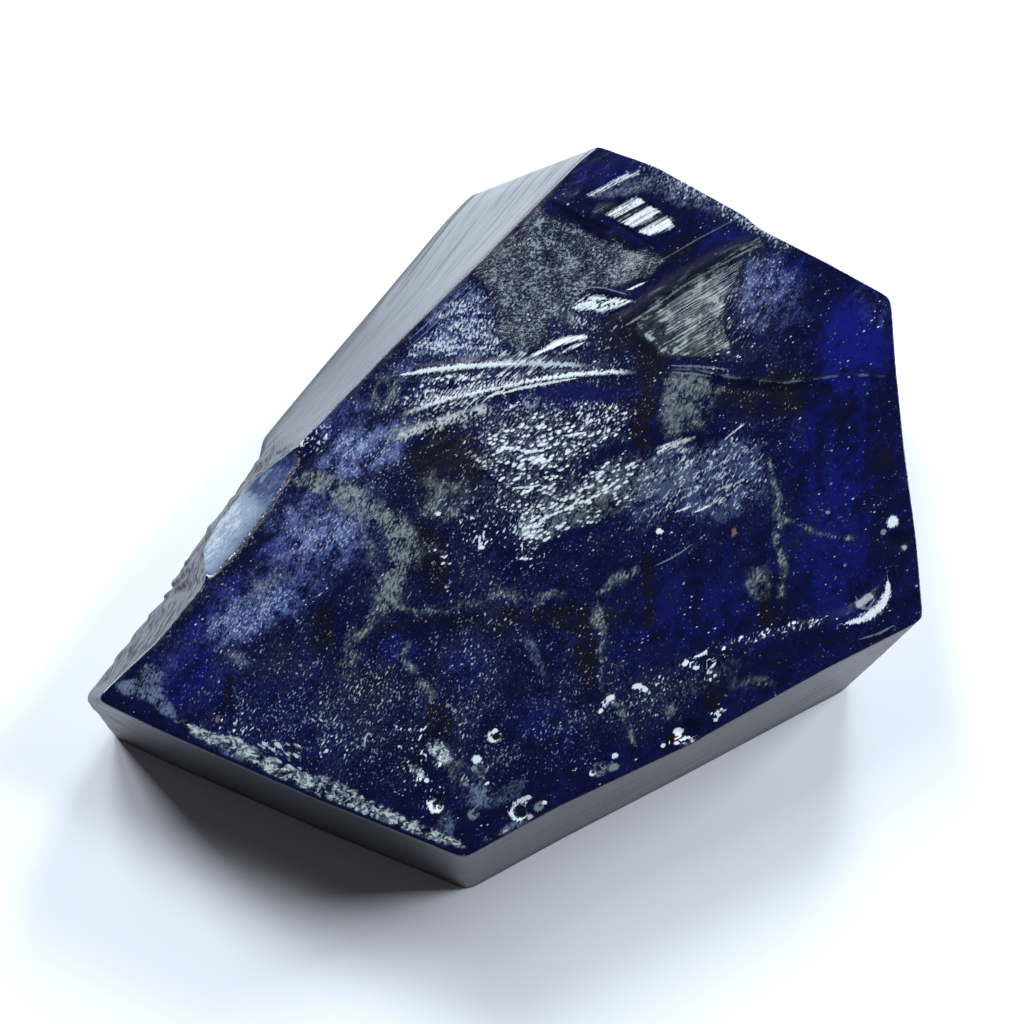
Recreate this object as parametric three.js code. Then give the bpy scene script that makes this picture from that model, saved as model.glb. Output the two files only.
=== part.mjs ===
// A rough sapphire slab: one piece of opaque deep blue stone, about 40 mm long and 6.5 mm thick, in millimetres,
// +Z up. The origin is at the middle of its outline, on the face that the stone rests on.
// It has five sides. The broad upper face is a fresh break, with ledges that fan out from one point, a crack and
// small hollows. The long left side is a sawn bevel that leans outwards and ends in a broken, ragged stretch.
import * as THREE from "three";

// Driving dimensions.
const THICKNESS = 6.5;
const RIM_BEVEL = 0.15;
const CORNER_ROUND = 0.35;
const BREAK_WAVE = 0.04;
const NARROWEST_RIDGE = 0.8;
const NARROWEST_GROOVE = 0.5;
const SCARP_WIDTH = 1.0;

// How finely the surface is faceted: rings of the broad face, points added by each ring, and strips of the sides.
const RINGS = 27;
const POINTS_PER_RING = 8;
const AROUND = RINGS * POINTS_PER_RING;
const UPPER_STRIPS = 2;
const LOWER_STRIPS = 2;

const STONE_BLUE = "#141c5e";
const STONE_ROUGHNESS = 0.35;

// The ledge point from which the breaks of the broad face fan out.
const HUB = [7.3, 6.4];

// The outline, anticlockwise from above. Each stop has the rim of the broad face, the waist of the side with
// its height, and the foot on the resting face.
const stop = (rim, waist, foot) => ({ rim, waist, foot });
const STOPS = [
  stop([-19.27, -9.92], [-20.11, -9.45, 4.0], [-19.02, -10.29]), // left tip
  stop([-16.3, -11.38], [-16.25, -11.52, 4.0], [-16.2, -11.66]),
  stop([-8.67, -14.81], [-8.63, -14.93, 3.4], [-8.6, -15.03]),
  stop([-1.77, -17.59], [-1.7, -17.75, 3.2], [-1.63, -17.91]), // front corner
  stop([2.67, -15.1], [2.69, -15.24, 3.2], [2.7, -15.5]),
  stop([8.84, -12.15], [8.82, -12.2, 3.2], [8.6, -12.39]),
  stop([15.53, -8.36], [14.9, -8.8, 3.2], [13.5, -9.74]),
  stop([20.11, -6.01], [18.6, -6.9, 3.2], [16.93, -7.89]), // right corner
  stop([19.86, -2.11], [18.5, -2.6, 3.2], [17.0, -3.2]),
  stop([19.34, 2.87], [18.3, 2.7, 3.2], [16.9, 2.6]),
  stop([19.04, 6.9], [18.1, 6.7, 3.2], [16.8, 6.6]),
  stop([18.91, 10.04], [17.9, 9.7, 3.2], [16.6, 9.2]), // back right corner
  stop([15.88, 11.83], [14.9, 11.3, 3.2], [13.6, 10.64]),
  stop([12.3, 13.77], [11.0, 13.3, 3.2], [9.7, 12.51]),
  stop([12.01, 14.18], [10.7, 13.5, 3.2], [9.3, 12.7]),
  stop([7.5, 16.81], [5.6, 16.2, 3.2], [3.6, 15.43]),
  stop([4.61, 17.9], [1.65, 17.85, 3.25], [-1.31, 17.79]), // back corner
  stop([3.73, 17.12], [0.5, 16.75, 3.25], [-2.71, 16.3]),
  stop([-1.16, 11.88], [-3.8, 11.72, 3.0], [-6.5, 11.52]),
  stop([-5.27, 7.66], [-7.7, 8.05, 2.2], [-9.0, 8.42]),
  stop([-9.4, 3.17], [-11.0, 4.62, 1.6], [-11.9, 4.72]), // end of the sawn bevel
  stop([-9.95, 2.45], [-11.6, 3.75, 1.6], [-12.0, 3.8]),
  stop([-11.62, 0.73], [-13.3, 1.2, 1.8], [-13.3, 1.3]),
  stop([-13.38, -1.01], [-14.47, -0.63, 2.2], [-14.2, -0.6]),
  stop([-14.4, -2.6], [-15.6, -2.6, 2.8], [-15.1, -2.4]), // end of the chip
  stop([-14.0, -4.1], [-16.2, -3.9, 3.3], [-15.6, -4.1]),
  stop([-16.38, -7.04], [-17.54, -5.94, 4.0], [-16.9, -6.5]),
  stop([-18.25, -8.85], [-19.41, -8.41, 4.0], [-18.5, -9.0]),
];

// Ridges: a line, its height, and how far it slopes off on each side.
const RIDGES = [
  { line: [[4.3, 6.65], [2.0, 6.6], [-0.2, 6.55], [-2.6, 6.35], [-4.6, 6.2]], height: 0.1 },
  { line: [[6.6, 6.3], [4.7, 6.15], [0.8, 5.6], [-3.1, 4.8], [-6.7, 3.65]], height: 0.16 },
  { line: [[-1.1, 4.0], [-4.0, 3.3], [-5.7, 2.6]], height: 0.08 },
  { line: [[12.4, 8.05], [10.2, 7.4], [8.1, 6.6]], height: 0.07 },
];

// Scarps: the surface drops on the left of the line's direction, and comes up again over the fade distance.
// A fade below zero puts the drop on the right.
const SCARPS = [
  { line: [[12.6, 13.3], [10.5, 12.2], [8.6, 11.1], [6.6, 9.6], [5.0, 8.5]], drop: 0.34, fade: 3.0 },
  { line: [[13.6, 6.3], [10.4, 6.35], HUB], drop: 0.26, fade: 2.2 },
  { line: [[13.0, 3.9], [9.6, 3.1], [7.5, 2.4]], drop: 0.16, fade: 1.8 },
  { line: [HUB, [4.7, 6.2], [0.8, 5.65], [-3.1, 4.85]], drop: 0.18, fade: 1.6 },
  { line: [[7.4, 12.6], [5.3, 13.4], [2.4, 15.0]], drop: 0.2, fade: 2.4 },
  // The dish inside the lip that runs along the front right edge and round the right corner.
  {
    line: [[18.6, -2.2], [18.5, -4.1], [18.0, -5.1], [17.1, -5.7], [14.1, -6.8], [10.3, -7.8], [6.5, -9.5]],
    drop: 0.24,
    fade: -3.5,
  },
];

// Grooves: open cracks across the broad face.
const GROOVES = [
  { line: [[2.3, 15.0], [3.0, 14.45], [4.7, 13.75], [5.4, 13.3]], depth: 0.4 },
  { line: [[5.4, 14.0], [6.2, 13.5], [7.4, 12.6]], depth: 0.25 },
];

// The chip that took off the rim above the ragged stretch: its inner edge, and the fall of its face per millimetre.
const CHIP_EDGE = [[-9.9, 2.5], [-9.95, 1.6], [-11.22, -0.62], [-12.63, -2.6], [-13.95, -4.05]];
const CHIP_SLOPE = 0.82;

// Hollows left by small chips and burst bubbles: place, radius and depth.
const HOLLOWS = [
  { at: [-2.9, -12.3], radius: 0.9, depth: 0.2 },
  { at: [-3.95, -13.35], radius: 0.6, depth: 0.15 },
  { at: [-3.15, -14.9], radius: 0.6, depth: 0.2 },
  { at: [1.1, -15.25], radius: 0.9, depth: 0.16 },
  { at: [8.85, -11.6], radius: 0.8, depth: 0.25 },
  { at: [18.9, -2.2], radius: 0.8, depth: 0.3 },
  { at: [-17.2, -9.8], radius: 1.0, depth: 0.14 },
  { at: [4.6, -12.9], radius: 0.9, depth: 0.15 },
];

const { lerp, clamp, smoothstep } = THREE.MathUtils;

// A point between two points.
const between = (a, b, t) => a.map((value, axis) => lerp(value, b[axis], t));

// A smooth bump that is 1 on a line and falls off to both sides over the given width.
const bump = (distance, width) => Math.exp(-((distance / width) ** 2));

// Fades a form out towards the two ends of its line.
const taper = (along) => smoothstep(along, 0, 0.12) * smoothstep(1 - along, 0, 0.12);

// Where a place lies against a line of points: its distance, the side it is on (positive is the left of the
// line's direction) and how far along the line its nearest point is, from 0 to 1.
function against(line, x, y) {
  let best = { distance: Infinity, side: 1, along: 0 };
  for (let i = 0; i + 1 < line.length; i++) {
    const [ax, ay] = line[i];
    const [ux, uy] = [line[i + 1][0] - ax, line[i + 1][1] - ay];
    const t = clamp(((x - ax) * ux + (y - ay) * uy) / (ux * ux + uy * uy), 0, 1);
    const distance = Math.hypot(x - ax - t * ux, y - ay - t * uy);
    if (distance < best.distance) {
      const side = Math.sign(ux * (y - ay) - uy * (x - ax)) || 1;
      best = { distance, side, along: (i + t) / (line.length - 1) };
    }
  }
  return best;
}

// How high the broad face stands over its mean plane at a place: the broad wave of the break, then each form.
function relief(x, y) {
  let z = BREAK_WAVE * (Math.sin(0.35 * x + 0.21 * y) + Math.sin(0.52 * y - 0.23 * x + 1.3));
  for (const { line, height } of RIDGES) {
    const { distance, along } = against(line, x, y);
    z += height * taper(along) * bump(distance, NARROWEST_RIDGE);
  }
  for (const { line, drop, fade } of SCARPS) {
    const { distance, side, along } = against(line, x, y);
    const over = Math.max(0, Math.sign(fade) * side * distance);
    z -= drop * taper(along) * smoothstep(over, 0, SCARP_WIDTH) * Math.exp(-over / Math.abs(fade));
  }
  for (const { line, depth } of GROOVES) {
    const { distance, along } = against(line, x, y);
    z -= depth * taper(along) * bump(distance, NARROWEST_GROOVE);
  }
  for (const { at, radius, depth } of HOLLOWS) {
    const share = Math.min(1, Math.hypot(x - at[0], y - at[1]) / radius);
    z -= depth * (1 - share * share) ** 2;
  }
  const chip = against(CHIP_EDGE, x, y);
  const outside = chip.side < 0 ? chip.distance : 0;
  z -= CHIP_SLOPE * outside * smoothstep(chip.along, 0, 0.1) * smoothstep(1 - chip.along, 0, 0.06);
  return z;
}

// The height of the broad face.
const faceHeight = (x, y) => THICKNESS + relief(x, y);

// Points spread evenly round the outline, each with the rim, waist and foot between those of two stops.
function walkOutline() {
  const next = (i) => STOPS[(i + 1) % STOPS.length];
  const apart = (a, b) => Math.hypot(b[0] - a[0], b[1] - a[1]);
  const lengths = STOPS.map((a, i) => apart(a.rim, next(i).rim) + apart(a.foot, next(i).foot));
  const total = lengths.reduce((sum, length) => sum + length, 0);
  const walk = [];
  let i = 0;
  let passed = 0;
  for (let k = 0; k < AROUND; k++) {
    const goal = (k / AROUND) * total;
    while (passed + lengths[i] < goal) passed += lengths[i++];
    const t = (goal - passed) / lengths[i];
    const mix = (key) => between(STOPS[i][key], next(i)[key], t);
    walk.push({ rim: mix("rim"), waist: mix("waist"), foot: mix("foot") });
  }
  return walk;
}

// Rounds the corners of a closed walk: each point moves to the weighted mean of those near it.
function roundCorners(walk) {
  const reach = Math.ceil((2 * CORNER_ROUND) / NARROWEST_GROOVE);
  const offsets = Array.from({ length: 2 * reach + 1 }, (_, k) => k - reach);
  const weights = offsets.map((k) => Math.exp(-0.5 * ((k * NARROWEST_GROOVE) / CORNER_ROUND) ** 2));
  const sum = weights.reduce((a, b) => a + b, 0);
  const near = (k, offset) => walk[(k + offset + walk.length) % walk.length];
  const mean = (key, k, axis) =>
    offsets.reduce((value, offset, j) => value + (weights[j] / sum) * near(k, offset)[key][axis], 0);
  const smooth = (key, k) => walk[k][key].map((_, axis) => mean(key, k, axis));
  return walk.map((_, k) => ({ rim: smooth("rim", k), waist: smooth("waist", k), foot: smooth("foot", k) }));
}

// The stone's vertices and triangles, as they are added.
class Surface {
  positions = [];
  faces = [];

  point(x, y, z) {
    this.positions.push(x, y, z);
    return this.positions.length / 3 - 1;
  }

  height(index) {
    return this.positions[3 * index + 2];
  }

  // A four-sided facet, split between the two corners that are closer in height, so that a ridge runs along
  // the facets' edges and isn't cut into teeth by them.
  quad(a, b, c, d) {
    const level = (p, q) => Math.abs(this.height(p) - this.height(q));
    if (level(a, c) < level(b, d)) this.faces.push(a, b, c, a, c, d);
    else this.faces.push(a, b, d, b, c, d);
  }

  // A strip of facets between two closed rows with the same number of points, the first above the second.
  strip(upper, lower) {
    upper.forEach((corner, k) => {
      const next = (k + 1) % upper.length;
      this.quad(corner, lower[k], lower[next], upper[next]);
    });
  }
}

// The broad face: rings round the hub, each with eight points more than the one inside it, so that the facets
// are small where the ledges meet. Returns the last ring, which lies inside the rim by the width of its bevel.
function addBroadFace(surface, outline) {
  const inset = outline.map(({ rim }) => {
    const reach = Math.hypot(rim[0] - HUB[0], rim[1] - HUB[1]);
    return between(rim, HUB, RIM_BEVEL / reach);
  });
  const rimAt = (share) => {
    const place = share * AROUND;
    const k = Math.floor(place);
    return between(inset[k % AROUND], inset[(k + 1) % AROUND], place - k);
  };
  let inner = [surface.point(...HUB, faceHeight(...HUB))];
  for (let ring = 1; ring <= RINGS; ring++) {
    const count = ring * POINTS_PER_RING;
    const outer = [];
    for (let k = 0; k < count; k++) {
      const [x, y] = between(HUB, rimAt(k / count), ring / RINGS);
      outer.push(surface.point(x, y, faceHeight(x, y)));
    }
    for (let k = 0; k < count; k++) {
      const sector = Math.floor(k / ring);
      const near = k - sector;
      const corner = inner[near % inner.length];
      const isSectorEnd = k % ring === ring - 1;
      if (isSectorEnd) surface.faces.push(outer[k], outer[(k + 1) % count], corner);
      else surface.quad(outer[k], outer[(k + 1) % count], inner[(near + 1) % inner.length], corner);
    }
    inner = outer;
  }
  return inner;
}

// The sides, strip by strip: over the rim's bevel, down to the waist and down to the foot. Returns the foot row.
function addSides(surface, outline, lastRing) {
  let upper = lastRing;
  const addRow = (pointAt) => {
    const lower = outline.map((stretch) => surface.point(...pointAt(stretch)));
    surface.strip(upper, lower);
    upper = lower;
  };
  const rimPoint = ({ rim }) => [...rim, faceHeight(...rim) - RIM_BEVEL];
  const footPoint = ({ foot }) => [...foot, 0];
  addRow(rimPoint);
  for (let k = 1; k <= UPPER_STRIPS; k++) {
    addRow((stretch) => between(rimPoint(stretch), stretch.waist, k / UPPER_STRIPS));
  }
  for (let k = 1; k <= LOWER_STRIPS; k++) {
    addRow((stretch) => between(stretch.waist, footPoint(stretch), k / LOWER_STRIPS));
  }
  return upper;
}

// The flat resting face: a fan round one middle point.
function addRestingFace(surface, footRow) {
  const middle = surface.point(...HUB, 0);
  footRow.forEach((corner, k) => {
    surface.faces.push(footRow[(k + 1) % footRow.length], corner, middle);
  });
}

// The stone's closed surface.
function stoneGeometry() {
  const surface = new Surface();
  const outline = roundCorners(walkOutline());
  const lastRing = addBroadFace(surface, outline);
  const footRow = addSides(surface, outline, lastRing);
  addRestingFace(surface, footRow);
  const geometry = new THREE.BufferGeometry();
  geometry.setAttribute("position", new THREE.Float32BufferAttribute(surface.positions, 3));
  geometry.setIndex(surface.faces);
  geometry.computeVertexNormals();
  geometry.computeBoundingBox();
  return geometry;
}

const material = new THREE.MeshStandardMaterial({
  color: STONE_BLUE,
  roughness: STONE_ROUGHNESS,
  metalness: 0,
});
const stone = new THREE.Mesh(stoneGeometry(), material);
stone.name = "stone";

// The middle of the outline comes to the origin.
const centre = stone.geometry.boundingBox.getCenter(new THREE.Vector3());
stone.position.set(-centre.x, -centre.y, 0);

const sapphire = new THREE.Group();
sapphire.add(stone);

export default sapphire;
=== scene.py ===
"""A rough sapphire slab, lying on a white sheet under soft studio lights.

The slab is one piece of opaque, deep blue stone. Its broad upper face is a fresh, glassy break, and its sides
are sawn. Sizes are in millimetres until a mesh is made, and in metres in the scene. +X is the photograph's
right, +Y points away from the viewer and +Z is up.
"""

import logging
import math
from dataclasses import dataclass, field
from enum import Enum

import bpy
import numpy as np
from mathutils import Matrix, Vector

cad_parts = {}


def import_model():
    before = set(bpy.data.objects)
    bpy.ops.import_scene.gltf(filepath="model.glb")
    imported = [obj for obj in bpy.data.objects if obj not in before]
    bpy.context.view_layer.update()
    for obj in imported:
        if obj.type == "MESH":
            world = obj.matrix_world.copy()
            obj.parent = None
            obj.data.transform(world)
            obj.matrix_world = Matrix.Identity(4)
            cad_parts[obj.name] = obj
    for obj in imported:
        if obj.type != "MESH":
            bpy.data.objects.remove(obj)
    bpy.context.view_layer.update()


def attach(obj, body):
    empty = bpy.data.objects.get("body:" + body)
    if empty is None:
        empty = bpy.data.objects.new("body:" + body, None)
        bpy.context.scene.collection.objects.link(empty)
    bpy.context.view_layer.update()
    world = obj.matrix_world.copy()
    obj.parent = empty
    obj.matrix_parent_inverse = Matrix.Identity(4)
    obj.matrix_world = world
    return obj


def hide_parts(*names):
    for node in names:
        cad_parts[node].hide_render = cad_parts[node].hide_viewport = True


MM = 0.001
LOG = logging.getLogger("sapphire")

# Random heights repeat after this many corners of their lattice.
LATTICE = 256
# The share of a line over which it fades out at each end.
END_FADE = 0.12
# A distance, in half widths or lengths, at which a line or chip no longer counts.
FAR = 99.0

Array = np.ndarray
Point = tuple[float, float]
Socket = bpy.types.NodeSocket


def linear(colour: str) -> tuple[float, float, float, float]:
    """Turns an sRGB colour into the linear values that shaders use.

    Args:
        colour: the colour as "#rrggbb".

    Returns:
        Linear red, green and blue, and an alpha of one.
    """
    values = [int(colour[i : i + 2], 16) / 255 for i in (1, 3, 5)]
    red, green, blue = (v / 12.92 if v <= 0.04045 else ((v + 0.055) / 1.055) ** 2.4 for v in values)
    return red, green, blue, 1.0


def ease(low: float, high: float, value: Array) -> Array:
    """Rises smoothly from 0 at the low value to 1 at the high value: 3 t t - 2 t t t, with t the share."""
    t = np.clip((value - low) / (high - low), 0.0, 1.0)
    return t * t * (3.0 - 2.0 * t)


def fading(along: Array, start: float, end: float) -> Array:
    """Rises from 0 to 1 over the first share of a line, and falls back to 0 over its last share."""
    return ease(0.0, start, along) * ease(0.0, end, 1.0 - along)


def lumps(x: Array, y: Array, size: float, seed: int) -> Array:
    """Smooth random lumps from -1 to 1, on a lattice with the given spacing in mm.

    Each lattice corner has a random height, and the height between corners is mixed with an eased weight.

    Args:
        x, y: the places, in mm.
        size: the lattice's spacing, in mm.
        seed: which random heights.

    Returns:
        The height at each place.
    """
    table = np.random.default_rng(seed).uniform(-1.0, 1.0, (LATTICE, LATTICE))
    u, v = x / size, y / size
    column, row = np.floor(u).astype(int), np.floor(v).astype(int)
    s, t = ease(0.0, 1.0, u - column), ease(0.0, 1.0, v - row)
    columns, rows = (column % LATTICE, (column + 1) % LATTICE), (row % LATTICE, (row + 1) % LATTICE)
    near, far = (table[columns[0], r] * (1 - s) + table[columns[1], r] * s for r in rows)
    return near * (1 - t) + far * t


def turned(x: Array, y: Array, centre: Point, angle: float) -> tuple[Array, Array]:
    """Places measured from a centre, along and across a direction given in degrees from +X.

    Args:
        x, y: the places, in mm.
        centre: where they are measured from.
        angle: the direction.

    Returns:
        How far along and how far across the direction each place is.
    """
    c, s = math.cos(math.radians(angle)), math.sin(math.radians(angle))
    dx, dy = x - centre[0], y - centre[1]
    return c * dx + s * dy, c * dy - s * dx


@dataclass(frozen=True)
class Path:
    """A line of straight stretches across the broad face, in mm."""

    points: tuple[Point, ...]

    def against(self, x: Array, y: Array) -> tuple[Array, Array, Array]:
        """Measures places against the line.

        Args:
            x, y: the places, in mm.

        Returns:
            The distance to the line, positive on the left of its direction and negative on the right; how far
            along the line the nearest point is, from 0 to 1; and a weight that fades out at both ends.
        """
        distance = np.full(x.shape, np.inf)
        side = np.ones(x.shape)
        along = np.zeros(x.shape)
        last = len(self.points) - 1
        for i, ((ax, ay), (bx, by)) in enumerate(zip(self.points, self.points[1:])):
            ux, uy = bx - ax, by - ay
            t = np.clip(((x - ax) * ux + (y - ay) * uy) / (ux * ux + uy * uy), 0.0, 1.0)
            reach = np.hypot(x - ax - t * ux, y - ay - t * uy)
            nearer = reach < distance
            distance = np.where(nearer, reach, distance)
            side = np.where(nearer, np.where(ux * (y - ay) - uy * (x - ax) >= 0, 1.0, -1.0), side)
            along = np.where(nearer, (i + t) / last, along)
        return distance * side, along, fading(along, END_FADE, END_FADE)


@dataclass(frozen=True)
class Ridge:
    """A raised line, steep on one side and gentle on the other."""

    path: Path
    height: float
    left: float
    right: float

    def rise(self, x: Array, y: Array) -> Array:
        """A bell curve across the line with its own width on each side.

        Args:
            x, y: the places, in mm.

        Returns:
            How far the face rises at each place, in mm.
        """
        distance, _, fade = self.path.against(x, y)
        width = np.where(distance > 0, self.left, self.right)
        return self.height * fade * np.exp(-((distance / width) ** 2))


@dataclass(frozen=True)
class Scarp:
    """A step down on the left of the line, over its width. The surface comes up again over the return."""

    path: Path
    drop: float
    width: float
    comes_back: float
    end_share: float = 0.35

    def rise(self, x: Array, y: Array) -> Array:
        """An eased step on the left of the line, times an exponential return.

        Args:
            x, y: the places, in mm.

        Returns:
            How far the face rises at each place, in mm.
        """
        distance, along, _ = self.path.against(x, y)
        ends = fading(along, self.end_share, self.end_share)
        over = np.maximum(distance, 0.0)
        return -self.drop * ends * ease(0.0, self.width, over) * np.exp(-over / self.comes_back)


@dataclass(frozen=True)
class Groove:
    """An open crack with a rounded bottom."""

    path: Path
    depth: float
    half: float

    def rise(self, x: Array, y: Array) -> Array:
        """A flat-bottomed trough: a bell curve of the fourth power across the line."""
        distance, _, fade = self.path.against(x, y)
        return -self.depth * fade * np.exp(-((distance / self.half) ** 4))


@dataclass(frozen=True)
class Hollow:
    """A small dish left by a chip or a burst bubble."""

    centre: Point
    radius: float
    depth: float
    level_share: float = 0.2

    def rise(self, x: Array, y: Array) -> Array:
        """A dish with a level middle and an eased edge."""
        reach = np.hypot(x - self.centre[0], y - self.centre[1]) / self.radius
        return -self.depth * (1.0 - ease(self.level_share, 1.0, reach))


@dataclass(frozen=True)
class Area:
    """An area of the broad face inside a closed outline, with a soft edge."""

    points: tuple[Point, ...]
    soft: float
    strength: float = 1.0

    def cover(self, x: Array, y: Array) -> Array:
        """Full strength inside the outline, eased to nothing across its edge.

        Args:
            x, y: the places, in mm.

        Returns:
            The strength of the mark at each place.
        """
        closed = (*self.points, self.points[0])
        distance, _, _ = Path(closed).against(x, y)
        inside = np.zeros(x.shape, bool)
        for (ax, ay), (bx, by) in zip(closed, closed[1:]):
            crosses = (ay > y) != (by > y)
            rise = by - ay if by != ay else 1.0
            inside ^= crosses & (x < ax + (bx - ax) * (y - ay) / rise)
        depth = np.where(inside, np.abs(distance), -np.abs(distance))
        return self.strength * ease(-self.soft, self.soft, depth)


@dataclass(frozen=True)
class Facet:
    """A small, flat patch of the break, tilted so that its far long side is the lower one."""

    area: Area
    angle: float
    slope: float

    def rise(self, x: Array, y: Array) -> Array:
        """A plane that falls across the area's middle, inside the area.

        Args:
            x, y: the places, in mm.

        Returns:
            How far the face rises at each place, in mm.
        """
        middle = np.mean(self.area.points, axis=0)
        _, across = turned(x, y, (middle[0], middle[1]), self.angle)
        return -self.slope * across * self.area.cover(x, y)


@dataclass(frozen=True)
class Stroke(Path):
    """A crisp line with pointed ends. Its half width is the one in the middle."""

    half: float
    strength: float = 1.0

    def half_at(self, along: Array) -> Array:
        """The half width along the line: the root of a sine, which is nearly nothing at the ends."""
        return self.half * np.sqrt(np.sin(np.pi * np.clip(along, 0.001, 0.999)))


@dataclass(frozen=True)
class Strokes:
    """Several strokes, of which the nearest one counts at each place, up to a reach past its edge."""

    strokes: tuple[Stroke, ...]
    reach: float = 0.3

    def against(self, x: Array, y: Array) -> tuple[Array, Array, Array]:
        """Measures places against the nearest stroke.

        Args:
            x, y: the places, in mm.

        Returns:
            The distance in half widths, positive on the stroke's left; how far along it is; and its strength.
        """
        nearest, along, strength = np.full(x.shape, FAR), np.zeros(x.shape), np.zeros(x.shape)
        for stroke in self.strokes:
            distance, way, _ = stroke.against(x, y)
            relative = distance / stroke.half_at(way)
            nearer = np.abs(relative) < np.abs(nearest)
            nearest = np.where(nearer, relative, nearest)
            along = np.where(nearer, way, along)
            in_reach = np.abs(distance) < stroke.half + self.reach
            strength = np.where(nearer, np.where(in_reach, stroke.strength, 0.0), strength)
        return nearest, along, strength


@dataclass(frozen=True)
class Chip:
    """A small chip, an ellipse, or the rim of a burst bubble, where part of the ellipse is left out."""

    x: float
    y: float
    length: float
    width: float
    angle: float = 0.0
    hole: float = 0.0


@dataclass(frozen=True)
class Chips:
    """Several chips, of which the nearest one counts at each place, up to a reach past its edge."""

    chips: tuple[Chip, ...]
    reach: float = 0.4

    def against(self, x: Array, y: Array) -> tuple[Array, Array, Array]:
        """Measures places from the nearest chip's middle.

        Args:
            x, y: the places, in mm.

        Returns:
            The way along and the way across the chip, both 1 at its edge, and the size of its hole, which
            takes up the whole chip out of reach.
        """
        nearest = np.full(x.shape, np.inf)
        u = v = hole = np.zeros(x.shape)
        for chip in self.chips:
            along, across = turned(x, y, (chip.x, chip.y), chip.angle)
            along, across = 2 * along / chip.length, 2 * across / chip.width
            away = (np.hypot(along, across) - 1.0) * chip.width
            nearer = away < nearest
            nearest = np.where(nearer, away, nearest)
            u, v = np.where(nearer, along, u), np.where(nearer, across, v)
            hole = np.where(nearer, chip.hole, hole)
        return u, v, np.where(nearest > self.reach, FAR, hole)


@dataclass(frozen=True)
class Patch:
    """A soft elliptical area of a mark on the broad face."""

    centre: Point
    length: float
    width: float
    angle: float = 0.0
    strength: float = 1.0

    def cover(self, x: Array, y: Array) -> Array:
        """Full strength in the inner half of the ellipse, eased to nothing at one and a half times it.

        Args:
            x, y: the places, in mm.

        Returns:
            The strength of the mark at each place.
        """
        along, across = turned(x, y, self.centre, self.angle)
        reach = np.hypot(2 * along / self.length, 2 * across / self.width)
        return self.strength * (1.0 - ease(0.5, 1.5, reach))


@dataclass(frozen=True)
class Streak(Path):
    """A soft band of a mark along a line on the broad face."""

    width: float
    strength: float = 1.0

    def cover(self, x: Array, y: Array) -> Array:
        """A bell curve across the line."""
        distance, _, fade = self.against(x, y)
        return self.strength * fade * np.exp(-((2 * distance / self.width) ** 2))


class Mark(Enum):
    """The marks that the stone's surface carries for its materials, each a number at every vertex."""

    ROYAL = "royal"
    DUST_AND_SHEEN = "dust and sheen"
    DARK = "dark"
    VEIN = "vein"
    HAZE = "haze"
    SPECKS = "specks"
    GLINT = "glint"
    FAN = "fan"
    WOVEN = "woven"
    LEVEL = "level"
    RISING = "rising"
    HATCH = "hatch"
    SCALES = "scales"
    GRAIN = "grain"
    STRIA = "stria"
    FACET_HIGHLIGHT = "facet highlight"
    FILM = "film"
    CRUST = "crust"
    CRACK = "crack"
    CHIP = "chip"
    DEEP = "deep"
    CALM = "calm"
    RAGGED = "ragged"
    PALE_SHEEN = "pale"
    FOOT_SHADE = "foot"


class Line(Enum):
    """The crisp lines and chips of the broad face. Each is a vector at every vertex, which its mask reads."""

    UPPER_RIDGE = "upper ridge"
    LOWER_RIDGE = "lower ridge"
    SHORT_RIDGE = "short ridge"
    RIGHT_LINE = "right line"
    LONG_STEP = "long step"
    FRONT_LEFT = "front left edge"
    FRONT_RIGHT = "front right edge"
    LEFT = "left edge"
    LOWER_LEFT = "lower left edge"
    CHIP_EDGE = "chip edge"
    STROKES = "strokes"
    FAINT_STROKES = "faint strokes"
    WHITE_CHIPS = "white chips"
    GREY_CHIPS = "grey chips"
    DARK_CHIPS = "dark chips"
    RUST = "rust"


# The point where the ledges of the break meet, and the lines of the broad face, in mm from the slab's middle.
HUB = (7.3, 6.4)
CHIP_EDGE = Path(((-9.9, 2.5), (-9.95, 1.6), (-11.22, -0.62), (-12.63, -2.6), (-13.95, -4.05)))
FRONT_LEFT_EDGE = Path(((-1.77, -17.59), (-8.67, -14.81), (-16.3, -11.38), (-19.27, -9.92)))
FRONT_RIGHT_EDGE = Path(((-1.77, -17.59), (2.67, -15.1), (8.84, -12.15), (15.53, -8.36), (20.11, -6.01)))
LEFT_EDGE = Path(((-9.4, 3.17), (-5.27, 7.66), (-1.16, 11.88), (3.73, 17.12)))
LOWER_LEFT_EDGE = Path(((-19.2, -9.8), (-18.25, -8.85), (-16.38, -7.04), (-14.0, -4.2)))
UPPER_RIDGE = Path(((4.3, 6.6), (2.7, 6.7), (0.9, 6.72), (-0.1, 6.7), (-1.6, 6.6), (-3.2, 6.42), (-4.7, 6.2)))
LOWER_RIDGE = Path(
    (
        (6.5, 6.3), (5.1, 6.27), (3.6, 6.17), (1.75, 5.91), (-0.05, 5.53), (-1.3, 5.23), (-2.55, 4.98),
        (-5.25, 4.03),
    )
)
SHORT_RIDGE = Path(((-0.3, 4.48), (-1.15, 4.28), (-2.6, 3.83), (-4.05, 3.32), (-5.4, 2.8)))
LONG_STEP = Path(((12.6, 13.3), (10.5, 12.2), (8.6, 11.1), (6.6, 9.6), (5.6, 8.9)))
RIGHT_LINE = Path(((18.8, 6.1), (16.8, 6.2), (13.7, 5.8), (11.0, 6.1), (9.4, 6.5), (8.2, 6.5)))
LOWER_STEP = Path(((12.4, 3.7), (10.2, 3.3), (8.6, 2.9), (7.5, 2.4)))
LIP = Path(((18.64, -2.9), (18.5, -4.1), (18.0, -5.1), (17.1, -5.7), (14.1, -6.8), (10.3, -7.8), (6.5, -9.5)))
CRACK = Path(((2.3, 15.0), (3.0, 14.45), (3.8, 14.1), (4.7, 13.75), (5.4, 13.3)))
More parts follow.
